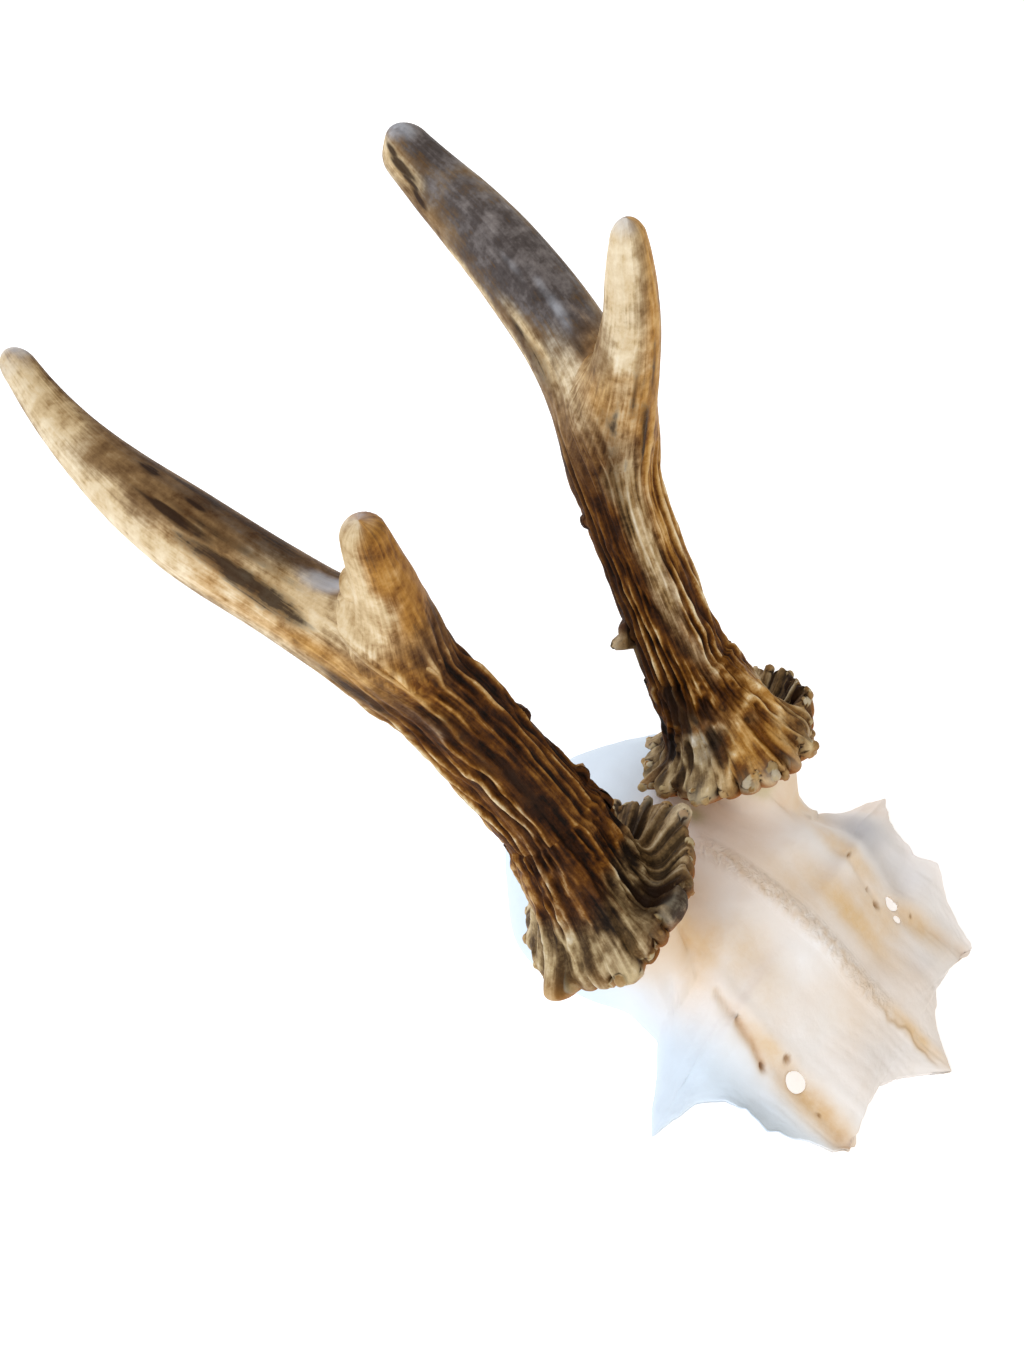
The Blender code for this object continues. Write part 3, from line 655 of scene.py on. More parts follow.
def antler_piece(antler, material):
    """Burr, beam and rear tine as one skin of rings, with the fork's web drawn out of it."""
    side, seed = antler["side"], antler["seed"]
    line = CentreLine(antler["beam"], side)
    turn = np.linspace(0.0, 2 * np.pi, BEAM_COLUMNS, endpoint=False)
    crown_distance, crown_height, station, mix = crown_profile(antler, turn)
    outline, tooth_length = tooth_outline(turn, antler["teeth"], seed + 9)
    edge = np.exp(-((station - 3.0) / 0.95) ** 2)[:, None]
    swelling = np.exp(-((station - 3.2) / 1.8) ** 2)[:, None]
    upper = (ease(station, 3.0, 4.0) * (1 - ease(station, 4.6, 7.2)))[:, None]
    lower = (ease(station, 0.8, 2.0) * (1 - ease(station, 2.2, 3.0)))[:, None]
    teeth = (outline - 0.8) * TOOTH_REACH + tooth_length * TOOTH_LENGTH
    uneven = 1.4 * ring_noise(turn, turn * 0, 6, seed + 14)
    uneven = uneven + 0.7 * ring_noise(turn, turn * 0, 15, seed + 16)
    crown_distance = crown_distance + teeth[None] * edge + uneven[None] * swelling
    middle, spread, depth = antler["narrow"]
    slim = depth * np.exp(-(turn_gap(turn, middle) / spread) ** 2)
    crown_distance = crown_distance - slim * ease(station, 1.0, 3.0)[:, None]
    flute = antler["flutes"] + (0.8 - antler["flutes"]) * mix
    crown_height = crown_height + ((outline - 0.6) * flute)[None] * upper
    crown_height = crown_height - (outline - 0.6)[None] * 0.8 * lower
    crown_height = crown_height + (tooth_length * 0.9)[None] * edge

    top = crown_height[-1].mean()
    shaft, radius = rounded_end(line, top, BEAM_ROWS + 1, antler["tip"], TIP_ROWS)
    crown_distance[-1] = radius[0] - slim
    shaft, radius = shaft[1:], radius[1:]

    height = np.concatenate([crown_height, np.repeat(shaft[:, None], BEAM_COLUMNS, axis=1)])
    distance = np.concatenate(
        [crown_distance, radius[:, None] - slim * (1 - ease(shaft, 26.0, 42.0))[:, None]])
    angle = np.repeat(turn[None], len(height), axis=0)
    points = line.points(height, angle, distance)
    tine = CentreLine(antler["front_tine"], side)
    points = round_fork(points, (line, FORK_HEIGHTS[0]), (tine, 0.0), FORK_REACH)
    webbed = points

    def rows(crown, above=0.0):
        """Numbers for the crown's rows and then for those of the shaft."""
        return np.concatenate([crown, above + 0 * shaft])[:, None]

    ridge, crest = grain(angle, height, 12, seed)
    on_crown = rows(ease(station, 2.4, 5.0), 1.0)
    past_fork = ridge_fade(height)
    swell = ring_noise(angle, height / 22.0, 4, seed + 8) * 0.5
    near_tip = np.minimum(1.0, (line.length - height) / 6.0)
    relief = (ridge * past_fork + swell) * on_crown * near_tip
    plait = 0.75 - 2.6 * np.abs(ring_noise(angle, height / 6.0, 46, seed + 15, 2.0 * swell))
    plait = plait + 0.5 * ring_noise(angle, height / 1.1, 110, seed + 17)
    pleated = rows(ease(station, 1.4, 3.4), 1 - ease(shaft, 20.0, 31.0))
    relief = relief + PLEAT_DEPTH * plait * pleated
    points = points + skin_normals(points, side) * relief[..., None]

    random = np.random.default_rng(seed + 12)
    balls = []
    for middle, degrees, size, rise in antler["pearls"]:
        balls.append((skin_point(line, middle, degrees), size, rise, 0.0))
    for _ in range(antler["beads"]):
        row = int(CROWN_ROWS * random.uniform(0.27, 0.46))
        column = random.integers(BEAM_COLUMNS)
        size = random.uniform(0.5, 1.15)
        balls.append((points[row, column], size, size * random.uniform(0.5, 1.0),
                      random.uniform(0.1, 1.0)))
    dents = [(skin_point(line, middle, degrees), size, depth)
             for middle, degrees, size, depth in antler["dents"]]
    points, lump, number, bead_shadow = raise_balls(points, skin_normals(points, side), balls, dents)

    near_fork = (height[:, 0] > FORK_HEIGHTS[0]) & (height[:, 0] < FORK_HEIGHTS[1])
    found = coordinates(line, webbed[near_fork])
    place = height.copy()
    place[near_fork] = found[0]
    sides = angle.copy()
    sides[near_fork] = found[1]
    fields = beam_fields(antler, place, sides)
    rim = rows(edge[:, 0]) + 0 * height
    # Painted shade: the clefts between the teeth, the fold inside the cup and the rings round the beads
    # are darkened and laid into the dark stains.
    painted_recess_shade = rows(np.exp(-((station - 6.2) / 1.3) ** 2))
    shoulder = rows(upper[:, 0])
    painted_cleft_shade = (1.0 - outline)[None] * (rim + shoulder * (0.4 + 0.3 * mix[None])) + 0.55 * bead_shadow
    fields["dark"] = np.clip(np.maximum(fields["dark"], painted_recess_shade * mix[None] * 0.3 + painted_cleft_shade), 0, 2)
    crest = crest * (1 - 0.75 * pleated) + (0.36 + 0.62 * plait) * 0.75 * pleated
    fields["crest"] = np.clip(crest * past_fork + (1 - past_fork) * 0.55, 0, 1)
    fields["polish"] = 1 - past_fork
    fields["rim"] = np.clip(rim * outline[None] * 0.8 + (lump > 0.12) * (height < 14), 0, 1)
    fields["bead"] = np.where(number > 0, number, 0.5 + 0.5 * tooth_length[None] + 0 * height)
    fields["under"] = rows(1 - ease(station, 2.0, 3.2)) + 0 * height
    fields["chalk"] = fields["chalk"] * (1 - 0.2 * mix[None])
    piece = tube_piece(antler["name"] + "_skin", points, fields, material)
    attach(piece, "root")
    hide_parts(antler["name"])
    return line, tine


def ridge_fade(height):
    """Ridges are full on the beam and nearly gone on the smooth tines."""
    return 1.0 - 0.95 * ease(height, 58.0, 88.0)


def skin_point(line, height, degrees):
    """A point on a beam's skin at a height and a turn in degrees."""
    at = np.array([height])
    return line.points(at, np.radians(np.array([degrees])), line.look_up(at)[1])[0]


def beam_fields(antler, height, turn):
    """Numbers for the material from the place on the beam: stains with some painted shade, bare parts,
    a painted bluish highlight, the pale side partly painted as lit, and the grain.
    """
    wobble = ring_noise(turn, height / 6.0, 7, antler["seed"] + 7)
    fields = {name: patches(height, turn, antler[name], wobble) for name in SPOT_KINDS}
    # The pale side: the bark's own paler side, painted paler still where the light falls on it.
    fields["light"] = 1.0 - ease(turn_gap(turn, antler["pale_lit_side"]), 20.0, 150.0)
    fields["chalk"] = 1.0 - ease(height, 9.0 + 3.0 * wobble, 20.0 + 6.0 * wobble)
    fields["grain"] = np.stack([np.cos(turn) * 8, np.sin(turn) * 8, height], axis=-1)
    return fields


def tine_piece(antler, line, tine, material):
    """The front tine's skin, whose root is sunk in the beam and webbed to it.

    Up to the fork it takes ridges and stains from its place on the beam, above from its own.
    """
    seed = antler["seed"] + 60
    turn = np.linspace(0.0, 2 * np.pi, TINE_COLUMNS, endpoint=False)
    at, radius = rounded_end(tine, 0.0, TINE_ROWS, TINE_TIP, TIP_ROWS)
    height = np.repeat(at[:, None], TINE_COLUMNS, axis=1)
    angle = np.repeat(turn[None], len(at), axis=0)
    points = tine.points(height, angle, np.repeat(radius[:, None], TINE_COLUMNS, axis=1))
    points = round_fork(points, (tine, 0.0), (line, 50.0), FORK_REACH)
    beam_height, beam_turn = coordinates(line, points)
    own = ease(height, 10.0, 24.0)
    ridge, crest = grain(angle, height + TINE_START, 9, seed)
    fade = 0.2 - 0.1 * ease(height, 10.0, 26.0)
    beam_ridge, beam_crest = grain(beam_turn, beam_height, 12, antler["seed"])
    past_fork = ridge_fade(beam_height)
    swell = ring_noise(angle, height / 14.0, 4, seed + 8) * 0.35
    beam_swell = ring_noise(beam_turn, beam_height / 22.0, 4, antler["seed"] + 8) * 0.5
    near_tip = np.minimum(1.0, (tine.length - height) / 5.0)
    relief = (ridge * fade + swell) * near_tip * own
    relief = relief + (beam_ridge * past_fork + beam_swell) * (1 - own) + 0.12
    points = points + skin_normals(points, antler["side"]) * relief[..., None]
    balls = [(skin_point(tine, middle, degrees), size, rise, 0.0)
             for middle, degrees, size, rise in antler["tine_pearls"]]
    points = raise_balls(points, skin_normals(points, antler["side"]), balls, ())[0]

    fields = beam_fields(antler, beam_height, beam_turn)
    wobble = ring_noise(angle, height / 5.0, 7, seed + 7)
    for name in SPOT_KINDS:
        mine = patches(height, angle, antler["tine_" + name], wobble)
        fields[name] = fields[name] * (1 - own) + mine * own
    fields["chalk"] = 0 * height
    fields["crest"] = np.clip((beam_crest * past_fork + (1 - past_fork) * 0.55) * (1 - own)
                              + (crest * fade + (1 - fade) * 0.55) * own, 0, 1)
    fields["polish"] = np.maximum(1 - past_fork, own)
    fields["grain"] = np.stack(
        [np.cos(angle) * 6, np.sin(angle) * 6, height + TINE_START], axis=-1)
    for name in ("rim", "bead", "under"):
        fields[name] = 0 * height
    word = antler["name"].replace("antler", "front_tine")
    piece = tube_piece(word + "_skin", points, fields, material)
    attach(piece, "root")
    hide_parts(word)


def plate_points(line, share):
    """Points of the plate's outer surface; a negative share lies on the animal's right.

    The rim is a broken line in front and a smooth curve round the back of the braincase. A line
    runs out as the sine of a quarter turn, and its heights follow a smooth curve through those
    at the midline, at half, at 87 percent and at the rim.
    """
    rows = np.array(PLATE_LINES, float)
    midline = np.array(MIDLINE, float)
    index = np.arange(len(rows), dtype=float)
    rounded = curve_through(index, rows, line)
    straight = [np.where(line > 17.0, rounded[..., column],
                         np.interp(line, index, rows[:, column])) for column in range(3)]
    start = rounded[..., 3]
    ridge = curve_through(midline[:, 0], midline[:, 1], np.clip(start, -67.0, 40.0))
    step = np.abs(share)
    out = np.sin(step * np.pi / 2)
    heights = np.stack([ridge, rounded[..., 4], rounded[..., 5], straight[2]])
    slopes = np.gradient(heights, 1 / 3, axis=0)
    place = np.clip((step * 3).astype(int), 0, 2)
    t = step * 3 - place
    low, high = (np.take_along_axis(heights, (place + k)[None], 0)[0] for k in (0, 1))
    leave, arrive = (np.take_along_axis(slopes, (place + k)[None], 0)[0] / 3 for k in (0, 1))
    rise = 3 * t ** 2 - 2 * t ** 3
    height = (low * (1 - rise) + high * rise + leave * (t ** 3 - 2 * t ** 2 + t)
              + arrive * (t ** 3 - t ** 2))
    x = straight[0] * out * np.sign(share)
    y = start + (straight[1] - start) * out
    return np.stack([x, y, np.maximum(height, 0.0)], axis=-1)


def polyline_distance(x, y, path):
    """Distance of points from a broken line."""
    best = np.full(x.shape, 1e9)
    for (ax, ay), (bx, by) in zip(path[:-1], path[1:]):
        length = math.hypot(bx - ax, by - ay)
        t = np.clip(((x - ax) * (bx - ax) + (y - ay) * (by - ay)) / length ** 2, 0.0, 1.0)
        best = np.minimum(best, np.hypot(x - ax - (bx - ax) * t, y - ay - (by - ay) * t))
    return best


def pedicle_pull(points, line, share, side, beam):
    """Draws the plate's outer surface up into the stub under a burr.

    Inside an oval on the plate, polar places are sent to a cubic Bezier curve, which leaves the
    plate along its surface and reaches the burr's seat along the antler's own direction; the
    innermost part becomes the flat seat.
    """
    down = (line - PEDICLE_CENTRE[0]) / PEDICLE_REACH[0]
    over = (share * side - PEDICLE_CENTRE[1]) / PEDICLE_REACH[1]
    away = np.hypot(down, over)
    inside = np.flatnonzero((away < 1.0) & (share * side > 0))
    size = away[inside][:, None]
    turn = np.arctan2(down[inside], over[inside])

    def on_plate(reach):
        """Places on the plate at a share of the oval's reach, one for each point."""
        return plate_points(PEDICLE_CENTRE[0] + PEDICLE_REACH[0] * reach * np.sin(turn),
                            (PEDICLE_CENTRE[1] + PEDICLE_REACH[1] * reach * np.cos(turn)) * side)

    foot = on_plate(1.0)
    inwards = unit(on_plate(0.97) - foot)
    place, _, forward, outward, rearward = (value[0] for value in beam.look_up(np.zeros(1)))
    spoke = np.cos(turn)[:, None] * outward + np.sin(turn)[:, None] * rearward
    top = place + forward * SEAT_RISE + spoke * PEDICLE_TOP_RADIUS
    span = np.linalg.norm(top - foot, axis=1)[:, None]
    first = foot + inwards * span * 0.5
    second = top - forward * span * 0.45
    t = np.clip((1.0 - size) / (1.0 - PEDICLE_CAP), 0.0, 1.0)
    wall = (foot * (1 - t) ** 3 + first * 3 * t * (1 - t) ** 2 + second * 3 * t ** 2 * (1 - t)
            + top * t ** 3)
    seat = place + forward * SEAT_RISE + spoke * PEDICLE_TOP_RADIUS * size / PEDICLE_CAP
    result = points.copy()
    result[inside] = np.where(size < PEDICLE_CAP, seat, wall)
    return result


def cut_holes(quads, x, y, outer, inner):
    """Takes the faces inside each hole's oval out and draws both sheets' edges onto the oval."""
    for middle_x, middle_y, wide, long, degrees in HOLES:
        cosine, sine = math.cos(math.radians(degrees)), math.sin(math.radians(degrees))
        dx, dy = x - middle_x, y - middle_y
        away = np.hypot((dx * cosine + dy * sine) / wide, (dy * cosine - dx * sine) / long)
        gone = away[quads].mean(axis=1) < 1.0
        edge = np.intersect1d(quads[gone], quads[~gone])
        quads = quads[~gone]
        shift = (1.0 / away[edge] - 1.0)[:, None] * np.stack([dx[edge], dy[edge]], axis=1)
        outer[edge, :2] += shift
        inner[edge, :2] += shift
    return quads


def shell(outer, inner, quads):
    """Joins two sheets into a closed shell: its vertices, its faces, and which points are used.

    Corners of the outer sheet that lie together become one, and a face that shrinks to a line
    falls out. Every edge that has a face on one side only gets a wall to the inner sheet.
    """
    merged = np.unique(np.round(outer, 5), axis=0, return_inverse=True)[1].ravel()
    low = np.full(merged.max() + 1, len(merged))
    np.minimum.at(low, merged, np.arange(len(merged)))
    rings = ([c for k, c in enumerate(q) if c != q[k - 1]] for q in low[merged][quads].tolist())
    faces = [face for face in rings if len(face) > 2]
    edges = {pair: True for face in faces for pair in zip(face, face[1:] + face[:1])}
    count = len(outer)
    walls = [(there, here, here + count, there + count) for here, there in edges
             if (there, here) not in edges]
    lining = [tuple(corner + count for corner in face[::-1]) for face in faces]
    corners = np.unique(np.concatenate(faces))
    used = np.concatenate([corners, corners + count])
    place = np.full(2 * count, -1)
    place[used] = np.arange(len(used))
    everything = [tuple(place[list(face)].tolist()) for face in faces + walls + lining]
    return np.concatenate([outer, inner])[used], everything, used


def plate_piece(material, beams):
    """The skull plate: an outer and an inner sheet, joined by walls at the rim and the holes."""
    lines = np.linspace(0.0, len(PLATE_LINES) - 1.0, PLATE_ROWS)
    shares = np.linspace(-1.0, 1.0, 2 * PLATE_HALF_COLUMNS + 1)
    line, share = np.meshgrid(lines, shares, indexing="ij")
    base = plate_points(line, share)
    upwards = normals(base, False)
    upwards *= np.sign(upwards[..., 2].mean())
    upwards[..., 2] = np.maximum(upwards[..., 2], 0.1)
    upwards = unit(upwards)
    upwards[0] = upwards[1]
    upwards[-1] = upwards[-2]
    x, y = base[..., 0], base[..., 1]

    step = np.abs(share)
    ragged = 0.4 * sheet_noise(line * 1.7, 5.0 * (share > 0), 3)
    ragged = ragged + 0.15 * sheet_noise(line * 4.3, 5.0 * (share > 0), 4)
    front = 1.0 - ease(y, -24.0, -18.0)
    out = np.sin(step * np.pi / 2)
    centre = np.array([0.0, -30.0, 5.0])
    inward = unit((centre - base) * (1, 1, 0))
    bite = ease(out, 0.88, 1.0) * front * (0.3 + ragged)
    base = base + inward * bite[..., None]
    calm = np.minimum(1.0, (1 - out) / 0.03)
    for depth, width, path in HOLLOWS:
        bowl = depth * np.exp(-(polyline_distance(x, y, path) / width) ** 2)
        base[..., 2] = np.maximum(base[..., 2] - bowl * (0.3 + 0.7 * calm), 0.0)

    wander = 0.9 * sheet_noise(y / 3.1, y * 0, 8) + 0.6 * sheet_noise(y / 1.3, y * 0, 9)
    suture = (1 - ease(y, -8.0, -2.0)) * ease(y, -66.0, -60.0)
    raised = suture * (1 - ease(-y, 46.0, 54.0))
    crinkle = sheet_noise(x / 0.7, y / 0.7, 10) + 0.6 * sheet_noise(x / 0.4, y / 0.4, 20)
    band = raised * np.exp(-(x / 2.1) ** 4)
    relief = band * (0.35 + 0.2 * crinkle)
    relief -= (suture - 0.6 * raised) * 0.3 * np.exp(-((x - wander) / 0.35) ** 2)
    relief += 0.3 * sheet_noise(x / 9.0, y / 9.0, 11)
    relief += 0.1 * sheet_noise(x / 2.4, y / 3.1, 12)
    streak = sheet_noise(x / 0.8 + 0.4 * y / 9.0, y / 9.0, 13)
    relief += streak * 0.1 * (1 - ease(y, -46.0, -30.0))
    relief += 0.05 * sheet_noise(x / 0.6, y / 0.6, 14)
    channel = np.zeros(x.shape)
    for depth, width, path in FURROWS:
        away = polyline_distance(x, y, path)
        relief -= depth * np.exp(-(away / width) ** 2)
        channel = np.maximum(channel, np.exp(-(away / (width + 0.5)) ** 2) * depth / 1.6)
    # Pits sink into the bone, and the same bell curve paints shade into them, through the pit layer and
    # the furrow colour.
    pit = np.zeros(x.shape)
    for px, py, radius, depth in PITS:
        bowl = np.exp(-(((x - px) ** 2 + (y - py) ** 2) / radius ** 2) ** 2)
        relief -= depth * bowl
        pit = np.maximum(pit, bowl)

    # Warm stains, and warm painted shadow in front of the right burr and beside the midline.
    warm = spots(x, y, WARM_STAINS_AND_SHADOWS)

    thickness = BONE_AT_RIM + (BONE_INSIDE - BONE_AT_RIM) * (1 - ease(out, 0.8, 0.98))
    for hole_x, hole_y, *_ in HOLES:
        near = np.exp(-((x - hole_x) ** 2 + (y - hole_y) ** 2) / THIN_REACH ** 2)
        thickness = thickness * (1 - 0.75 * near)
    upright = (front * ease(out, 0.75, 0.95))[..., None]
    inner = base - unit(upwards * (1 - upright) + np.array([0, 0, 1.0]) * upright) * (
        thickness[..., None])
    inner[..., 2] = np.maximum(inner[..., 2], 0.0)
    outer = base + upwards * (relief * (0.3 + 0.7 * calm))[..., None]
    outer[..., 2] = np.maximum(outer[..., 2], 0.0)

    flat_line, flat_share = line.ravel(), share.ravel()
    outer = outer.reshape(-1, 3)
    for beam, side in beams:
        outer = pedicle_pull(outer, flat_line, flat_share, side, beam)
    inner = inner.reshape(-1, 3)

    quads = grid_quads(PLATE_ROWS, len(shares), False)
    if np.cross(outer[quads[9000, 1]] - outer[quads[9000, 0]],
                outer[quads[9000, 3]] - outer[quads[9000, 0]])[2] < 0:
        quads = quads[:, ::-1]
    quads = cut_holes(quads, x.ravel(), y.ravel(), outer, inner)
    vertices, everything, used = shell(outer, inner, quads)

    def both(values):
        """The same numbers for the outer and the inner sheet."""
        return np.concatenate([values.ravel(), values.ravel()])[used]

    # Painted warm bounce light round the pedicles, under the burrs.
    near_pedicle = np.zeros(x.size)
    for beam, side in beams:
        seat = beam.look_up(np.zeros(1))[0][0]
        away = np.linalg.norm(outer - seat, axis=1)
        near_pedicle = np.maximum(near_pedicle, 1 - ease(away, 10.0, 21.0))
    fields = {
        "channel": both(np.maximum(channel, pit)),
        "warm": both(warm),
        "shade": both(spots(x, y, SHADES)),
        "green": both(spots(x, y, ALGAE)),
        # bluish tint: painted window light on the right flank and painted bluish shade at the back
        "painted_cool_light": both(np.maximum(ease(-x, 22.0, 34.0), ease(y, 2.0, 16.0)) * (1 - warm)),
        "seam": both((suture - 0.7 * raised) * np.exp(-((x - wander) / 0.7) ** 2)
                     + band * (0.25 + 0.3 * crinkle)),
        "pedicle": both(near_pedicle),
        "pit": both(pit),
        "band": both(band),
    }
    piece = mesh_piece("skull_plate_bone", vertices, everything, fields, material)
    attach(piece, "root")
    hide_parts("skull_plate")


def linear(code):
    """The linear colour of an sRGB hex code."""
    channels = [int(code[k:k + 2], 16) / 255 for k in (1, 3, 5)]
    return (*(c / 12.92 if c <= 0.04045 else ((c + 0.055) / 1.055) ** 2.4 for c in channels), 1.0)


def new_material(name):
    """A material, its node tree and its shader."""
    made = bpy.data.materials.new(name)
    made.use_nodes = True
    return made, made.node_tree, made.node_tree.nodes["Principled BSDF"]


def add(tree, kind, inputs=None, stops=None, **settings):
    """Adds a node with settings, input values or links by socket, and colour ramp stops."""
    made = tree.nodes.new(kind)
    for key, value in settings.items():
        setattr(made, key, value)
    for key, value in (inputs or {}).items():
        if isinstance(value, bpy.types.NodeSocket):
            tree.links.new(value, made.inputs[key])
        else:
            made.inputs[key].default_value = value
    if stops:
        elements = made.color_ramp.elements
        while len(elements) < len(stops):
            elements.new(0.5)
        for element, (position, code) in zip(elements, stops):
            element.position = position
            element.color = linear(code)
    return made


def field(tree, name):
    """A number kept per vertex."""
    return add(tree, "ShaderNodeAttribute", attribute_name=name).outputs["Fac"]


def noise(tree, place, scale, detail, roughness=0.5, distortion=0.0):
    """Cloudy noise from 0 to 1, with `scale` clouds to the unit."""
    return add(tree, "ShaderNodeTexNoise", {
        "Vector": place, "Scale": scale, "Detail": detail, "Roughness": roughness,
        "Distortion": distortion}).outputs[0]


def ramp(tree, factor, stops):
    """The colour at a number on a ramp."""
    return add(tree, "ShaderNodeValToRGB", {0: factor}, stops=stops).outputs[0]


def mix(tree, factor, first, second):
    """The second colour laid over the first by a factor."""
    return add(tree, "ShaderNodeMix", {0: factor, 6: first, 7: second},
               data_type="RGBA").outputs[2]


def times(tree, first, second, more=0.0, clamp=False):
    """The product of two numbers, and one more number added."""
    return add(tree, "ShaderNodeMath", {0: first, 1: second, 2: more}, operation="MULTIPLY_ADD",
               use_clamp=clamp).outputs[0]


def ragged(tree, name, uneven, low=0.12, high=0.92):
    """A soft spot kept per vertex, given a broken edge by noise, that fades from high to low."""
    spot = times(tree, field(tree, name), times(tree, uneven, 3.2, -0.55))
    return add(tree, "ShaderNodeMapRange", {0: spot, 1: low, 2: high, 3: 0.0, 4: 1.0},
               interpolation_type="SMOOTHSTEP").outputs[0]


def antler_material():
    """Weathered antler: dark stained grooves, rubbed golden ridges, bare ivory and grey tips, with
    painted shade in the burr's clefts and a painted bluish highlight by the crotches.
    """
    made, tree, shader = new_material("antler, stained by bark and rubbed bare on the ridges")
    grain_place = add(tree, "ShaderNodeAttribute", attribute_name="grain").outputs["Vector"]
    stretched = add(tree, "ShaderNodeMapping", {0: grain_place, 3: (1.0, 1.0, 0.055)}).outputs[0]
    fibres = noise(tree, stretched, 1.5, 5.0, 0.62, 0.25)
    place = add(tree, "ShaderNodeTexCoord").outputs["Object"]
    clouds = noise(tree, place, 190.0, 4.0)
    specks = noise(tree, place, 1300.0, 4.0, 0.7)
    mottle = noise(tree, place, 420.0, 5.0, 0.6)
    polish = field(tree, "polish")
    blotch = times(tree, mottle, 0.5, times(tree, fibres, 0.5))
    # Rubbing reaches the crests first, so the tone climbs from the groove to the crest; the
    # polished tines show specks instead of long fibres.
    tone = times(tree, field(tree, "crest"), 0.72, 0.02)
    for source, share in ((fibres, times(tree, polish, -0.62, 0.85)),
                          (specks, times(tree, polish, -0.2, 0.42)),
                          (clouds, 0.5),
                          (mottle, times(tree, polish, 0.42, 0.28))):
        tone = times(tree, times(tree, source, 1.0, -0.5), share, tone)
    # The pale side lifts the tone: partly the bark's own, partly painted light.
    tone = times(tree, field(tree, "light"), 0.2, tone)
    tone = times(tree, field(tree, "dark"), -0.12, tone, clamp=True)
    tones = {name: ramp(tree, tone, stops) for name, stops in TONES.items()}
    colour = mix(tree, times(tree, polish, 0.85), tones["bark"], tones["taupe"])
    for name in ("chalk", "slate", "ochre", "bare"):
        colour = mix(tree, ragged(tree, name, blotch), colour, tones[name])
    bead = mix(tree, 0.3, ramp(tree, field(tree, "bead"), BEAD_TONES), tones["chalk"])
    # Laid over the bark: a painted bluish highlight by the crotches with the pale grey of the tips, the
    # rim's beads, the underside's red-brown, then the dark stains with the painted shade of the clefts.
    for factor, strength, over in (
            (ragged(tree, "sheen_and_pale_tip", clouds, 0.15, 1.15), 0.6, linear("#cdd2da")),
            (field(tree, "rim"), 0.8, bead),
            (field(tree, "under"), 0.8, linear("#a3632a")),
            (ragged(tree, "dark", blotch, 0.3, 0.85), 0.92, linear("#2a180b"))):
        colour = mix(tree, times(tree, factor, strength), colour, over)
    tree.links.new(colour, shader.inputs["Base Color"])
    rough = add(tree, "ShaderNodeMapRange", {0: tone, 1: 0.0, 2: 1.0, 3: 0.62, 4: 0.4})
    tree.links.new(rough.outputs[0], shader.inputs["Roughness"])
    shader.inputs["IOR"].default_value = 1.54
    shader.inputs["Specular IOR Level"].default_value = 0.1
    grit = times(tree, mottle, 0.7, times(tree, specks, 0.7, fibres))
    grit = times(tree, grit, times(tree, polish, -0.8, 1.0))
    bump = add(tree, "ShaderNodeBump", {"Strength": 0.8, "Distance": 0.0004, "Height": grit})
    tree.links.new(bump.outputs[0], shader.inputs["Normal"])
    return made


def bone_material():
    """Bleached bone: chalky white, warm where fat stays in the furrows, and painted light and shade:
    a bluish tint for the window light on the right flank and the shade at the back, grey shade on
    the left flange, warm shadow in front of the right burr, warm bounce light round the pedicles
    and dark shade in the pits.
    """
    made, tree, shader = new_material("bone, boiled and bleached")
    place = add(tree, "ShaderNodeTexCoord").outputs["Object"]
    fine = noise(tree, place, 320.0, 5.0, 0.65)
    colour = ramp(tree, noise(tree, place, 55.0, 4.0),
                  ((0.3, "#f6f3f0"), (0.5, "#f3ebe3"), (0.7, "#eee0d2")))
    for name, patchy, share, tint in BONE_LAYERS:
        factor = times(tree, field(tree, name), times(tree, fine, patchy, share), clamp=True)
        over = linear(tint) if isinstance(tint, str) else ramp(tree, factor, tint)
        colour = mix(tree, factor, colour, over)
    tree.links.new(colour, shader.inputs["Base Color"])
    shader.inputs["Roughness"].default_value = 0.55
    shader.inputs["IOR"].default_value = 1.5
    pores = noise(tree, place, 900.0, 3.0)
    knots = times(tree, field(tree, "band"), noise(tree, place, 620.0, 2.0, 0.5, 1.2))
    bump = add(tree, "ShaderNodeBump", {"Strength": 0.4, "Distance": 0.0002,
                                        "Height": times(tree, knots, 13.0, pores)})
    tree.links.new(bump.outputs[0], shader.inputs["Normal"])
    return made


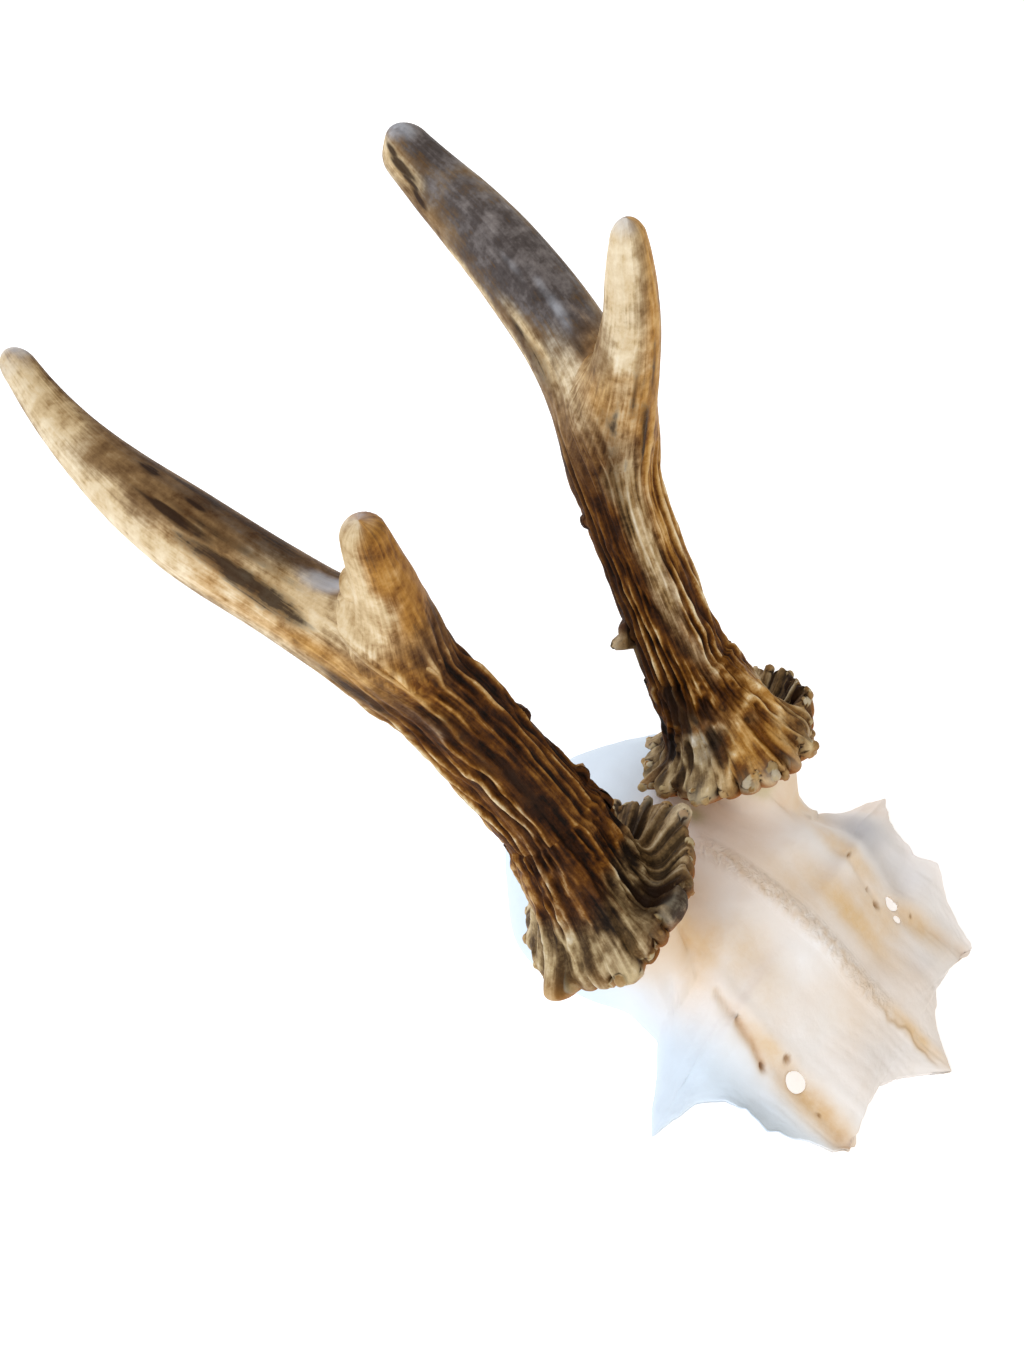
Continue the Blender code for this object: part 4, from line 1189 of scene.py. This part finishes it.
def table_top():
    """A plain white table top under the rim plane, faintly lit from below."""
    made, _, shader = new_material("opal acrylic sheet, lit from below")
    shader.inputs["Base Color"].default_value = linear("#fbfbfb")
    shader.inputs["Roughness"].default_value = 0.9
    shader.inputs["Emission Color"].default_value = linear("#ffffff")
    shader.inputs["Emission Strength"].default_value = 0.4
    half = 3.0
    mesh = bpy.data.meshes.new("table top")
    mesh.from_pydata([(-half, -half, 0), (half, -half, 0), (half, half, 0), (-half, half, 0)],
                     [], [(0, 1, 2, 3)])
    mesh.materials.append(made)
    floor = in_scene("table top", mesh)


def lamp(name, place, target, power, size, colour):
    """A square softbox that faces a point, with its power in watts and its size in metres."""
    light = bpy.data.lights.new(name, "AREA")
    light.energy = power
    light.size = size
    light.color = linear(colour)[:3]
    holder = in_scene(name, light)
    holder.location = place
    holder.rotation_euler = (Vector(target) - Vector(place)).to_track_quat("-Z", "Y").to_euler()


def camera():
    """The camera in front, above and on the animal's right, close over the nose."""
    right = Vector((0.6324967784, -0.7716479232, -0.0671364870))
    down = Vector((-0.6557174964, -0.4872973684, -0.5766938873))
    ahead = Vector((0.4122892070, 0.4087795951, -0.8141970600))
    data = bpy.data.cameras.new("camera")
    data.lens = 27.69
    data.sensor_width = 36.0
    data.clip_start = 0.01
    holder = in_scene("camera", data)
    turned = Matrix((right, -down, -ahead)).transposed().to_4x4()
    place = (np.array([-90.679, -47.166, 221.870]) + SKULL_TO_FRAME) * MM
    holder.matrix_world = Matrix.Translation(Vector(place.tolist())) @ turned
    bpy.context.scene.camera = holder


def studio():
    """Table, camera, pale surroundings and three softboxes: a window, one in front, one behind."""
    table_top()
    camera()
    world = bpy.data.worlds.new("pale room")
    world.use_nodes = True
    background = world.node_tree.nodes["Background"]
    background.inputs["Color"].default_value = linear("#fbf8f4")
    background.inputs["Strength"].default_value = 0.57
    bpy.context.scene.world = world
    bpy.context.scene.view_settings.view_transform = "Standard"
    lamp("window", (-0.60, 0.10, 0.52), (0.0, 0.0, 0.03), 2.9, 0.5, "#dfebfc")
    lamp("softbox in front", (-0.15, -0.50, 0.55), (0.0, 0.0, 0.05), 0.95, 0.5, "#fff5e8")
    lamp("softbox behind", (0.12, 0.58, 0.40), (0.0, 0.0, 0.03), 1.9, 0.5, "#f4f6ff")


studio()
antler = antler_material()
beams = []
for description in (RIGHT_ANTLER, LEFT_ANTLER):
    beam, tine = antler_piece(description, antler)
    tine_piece(description, beam, tine, antler)
    beams.append((beam, description["side"]))
plate_piece(bone_material(), beams)
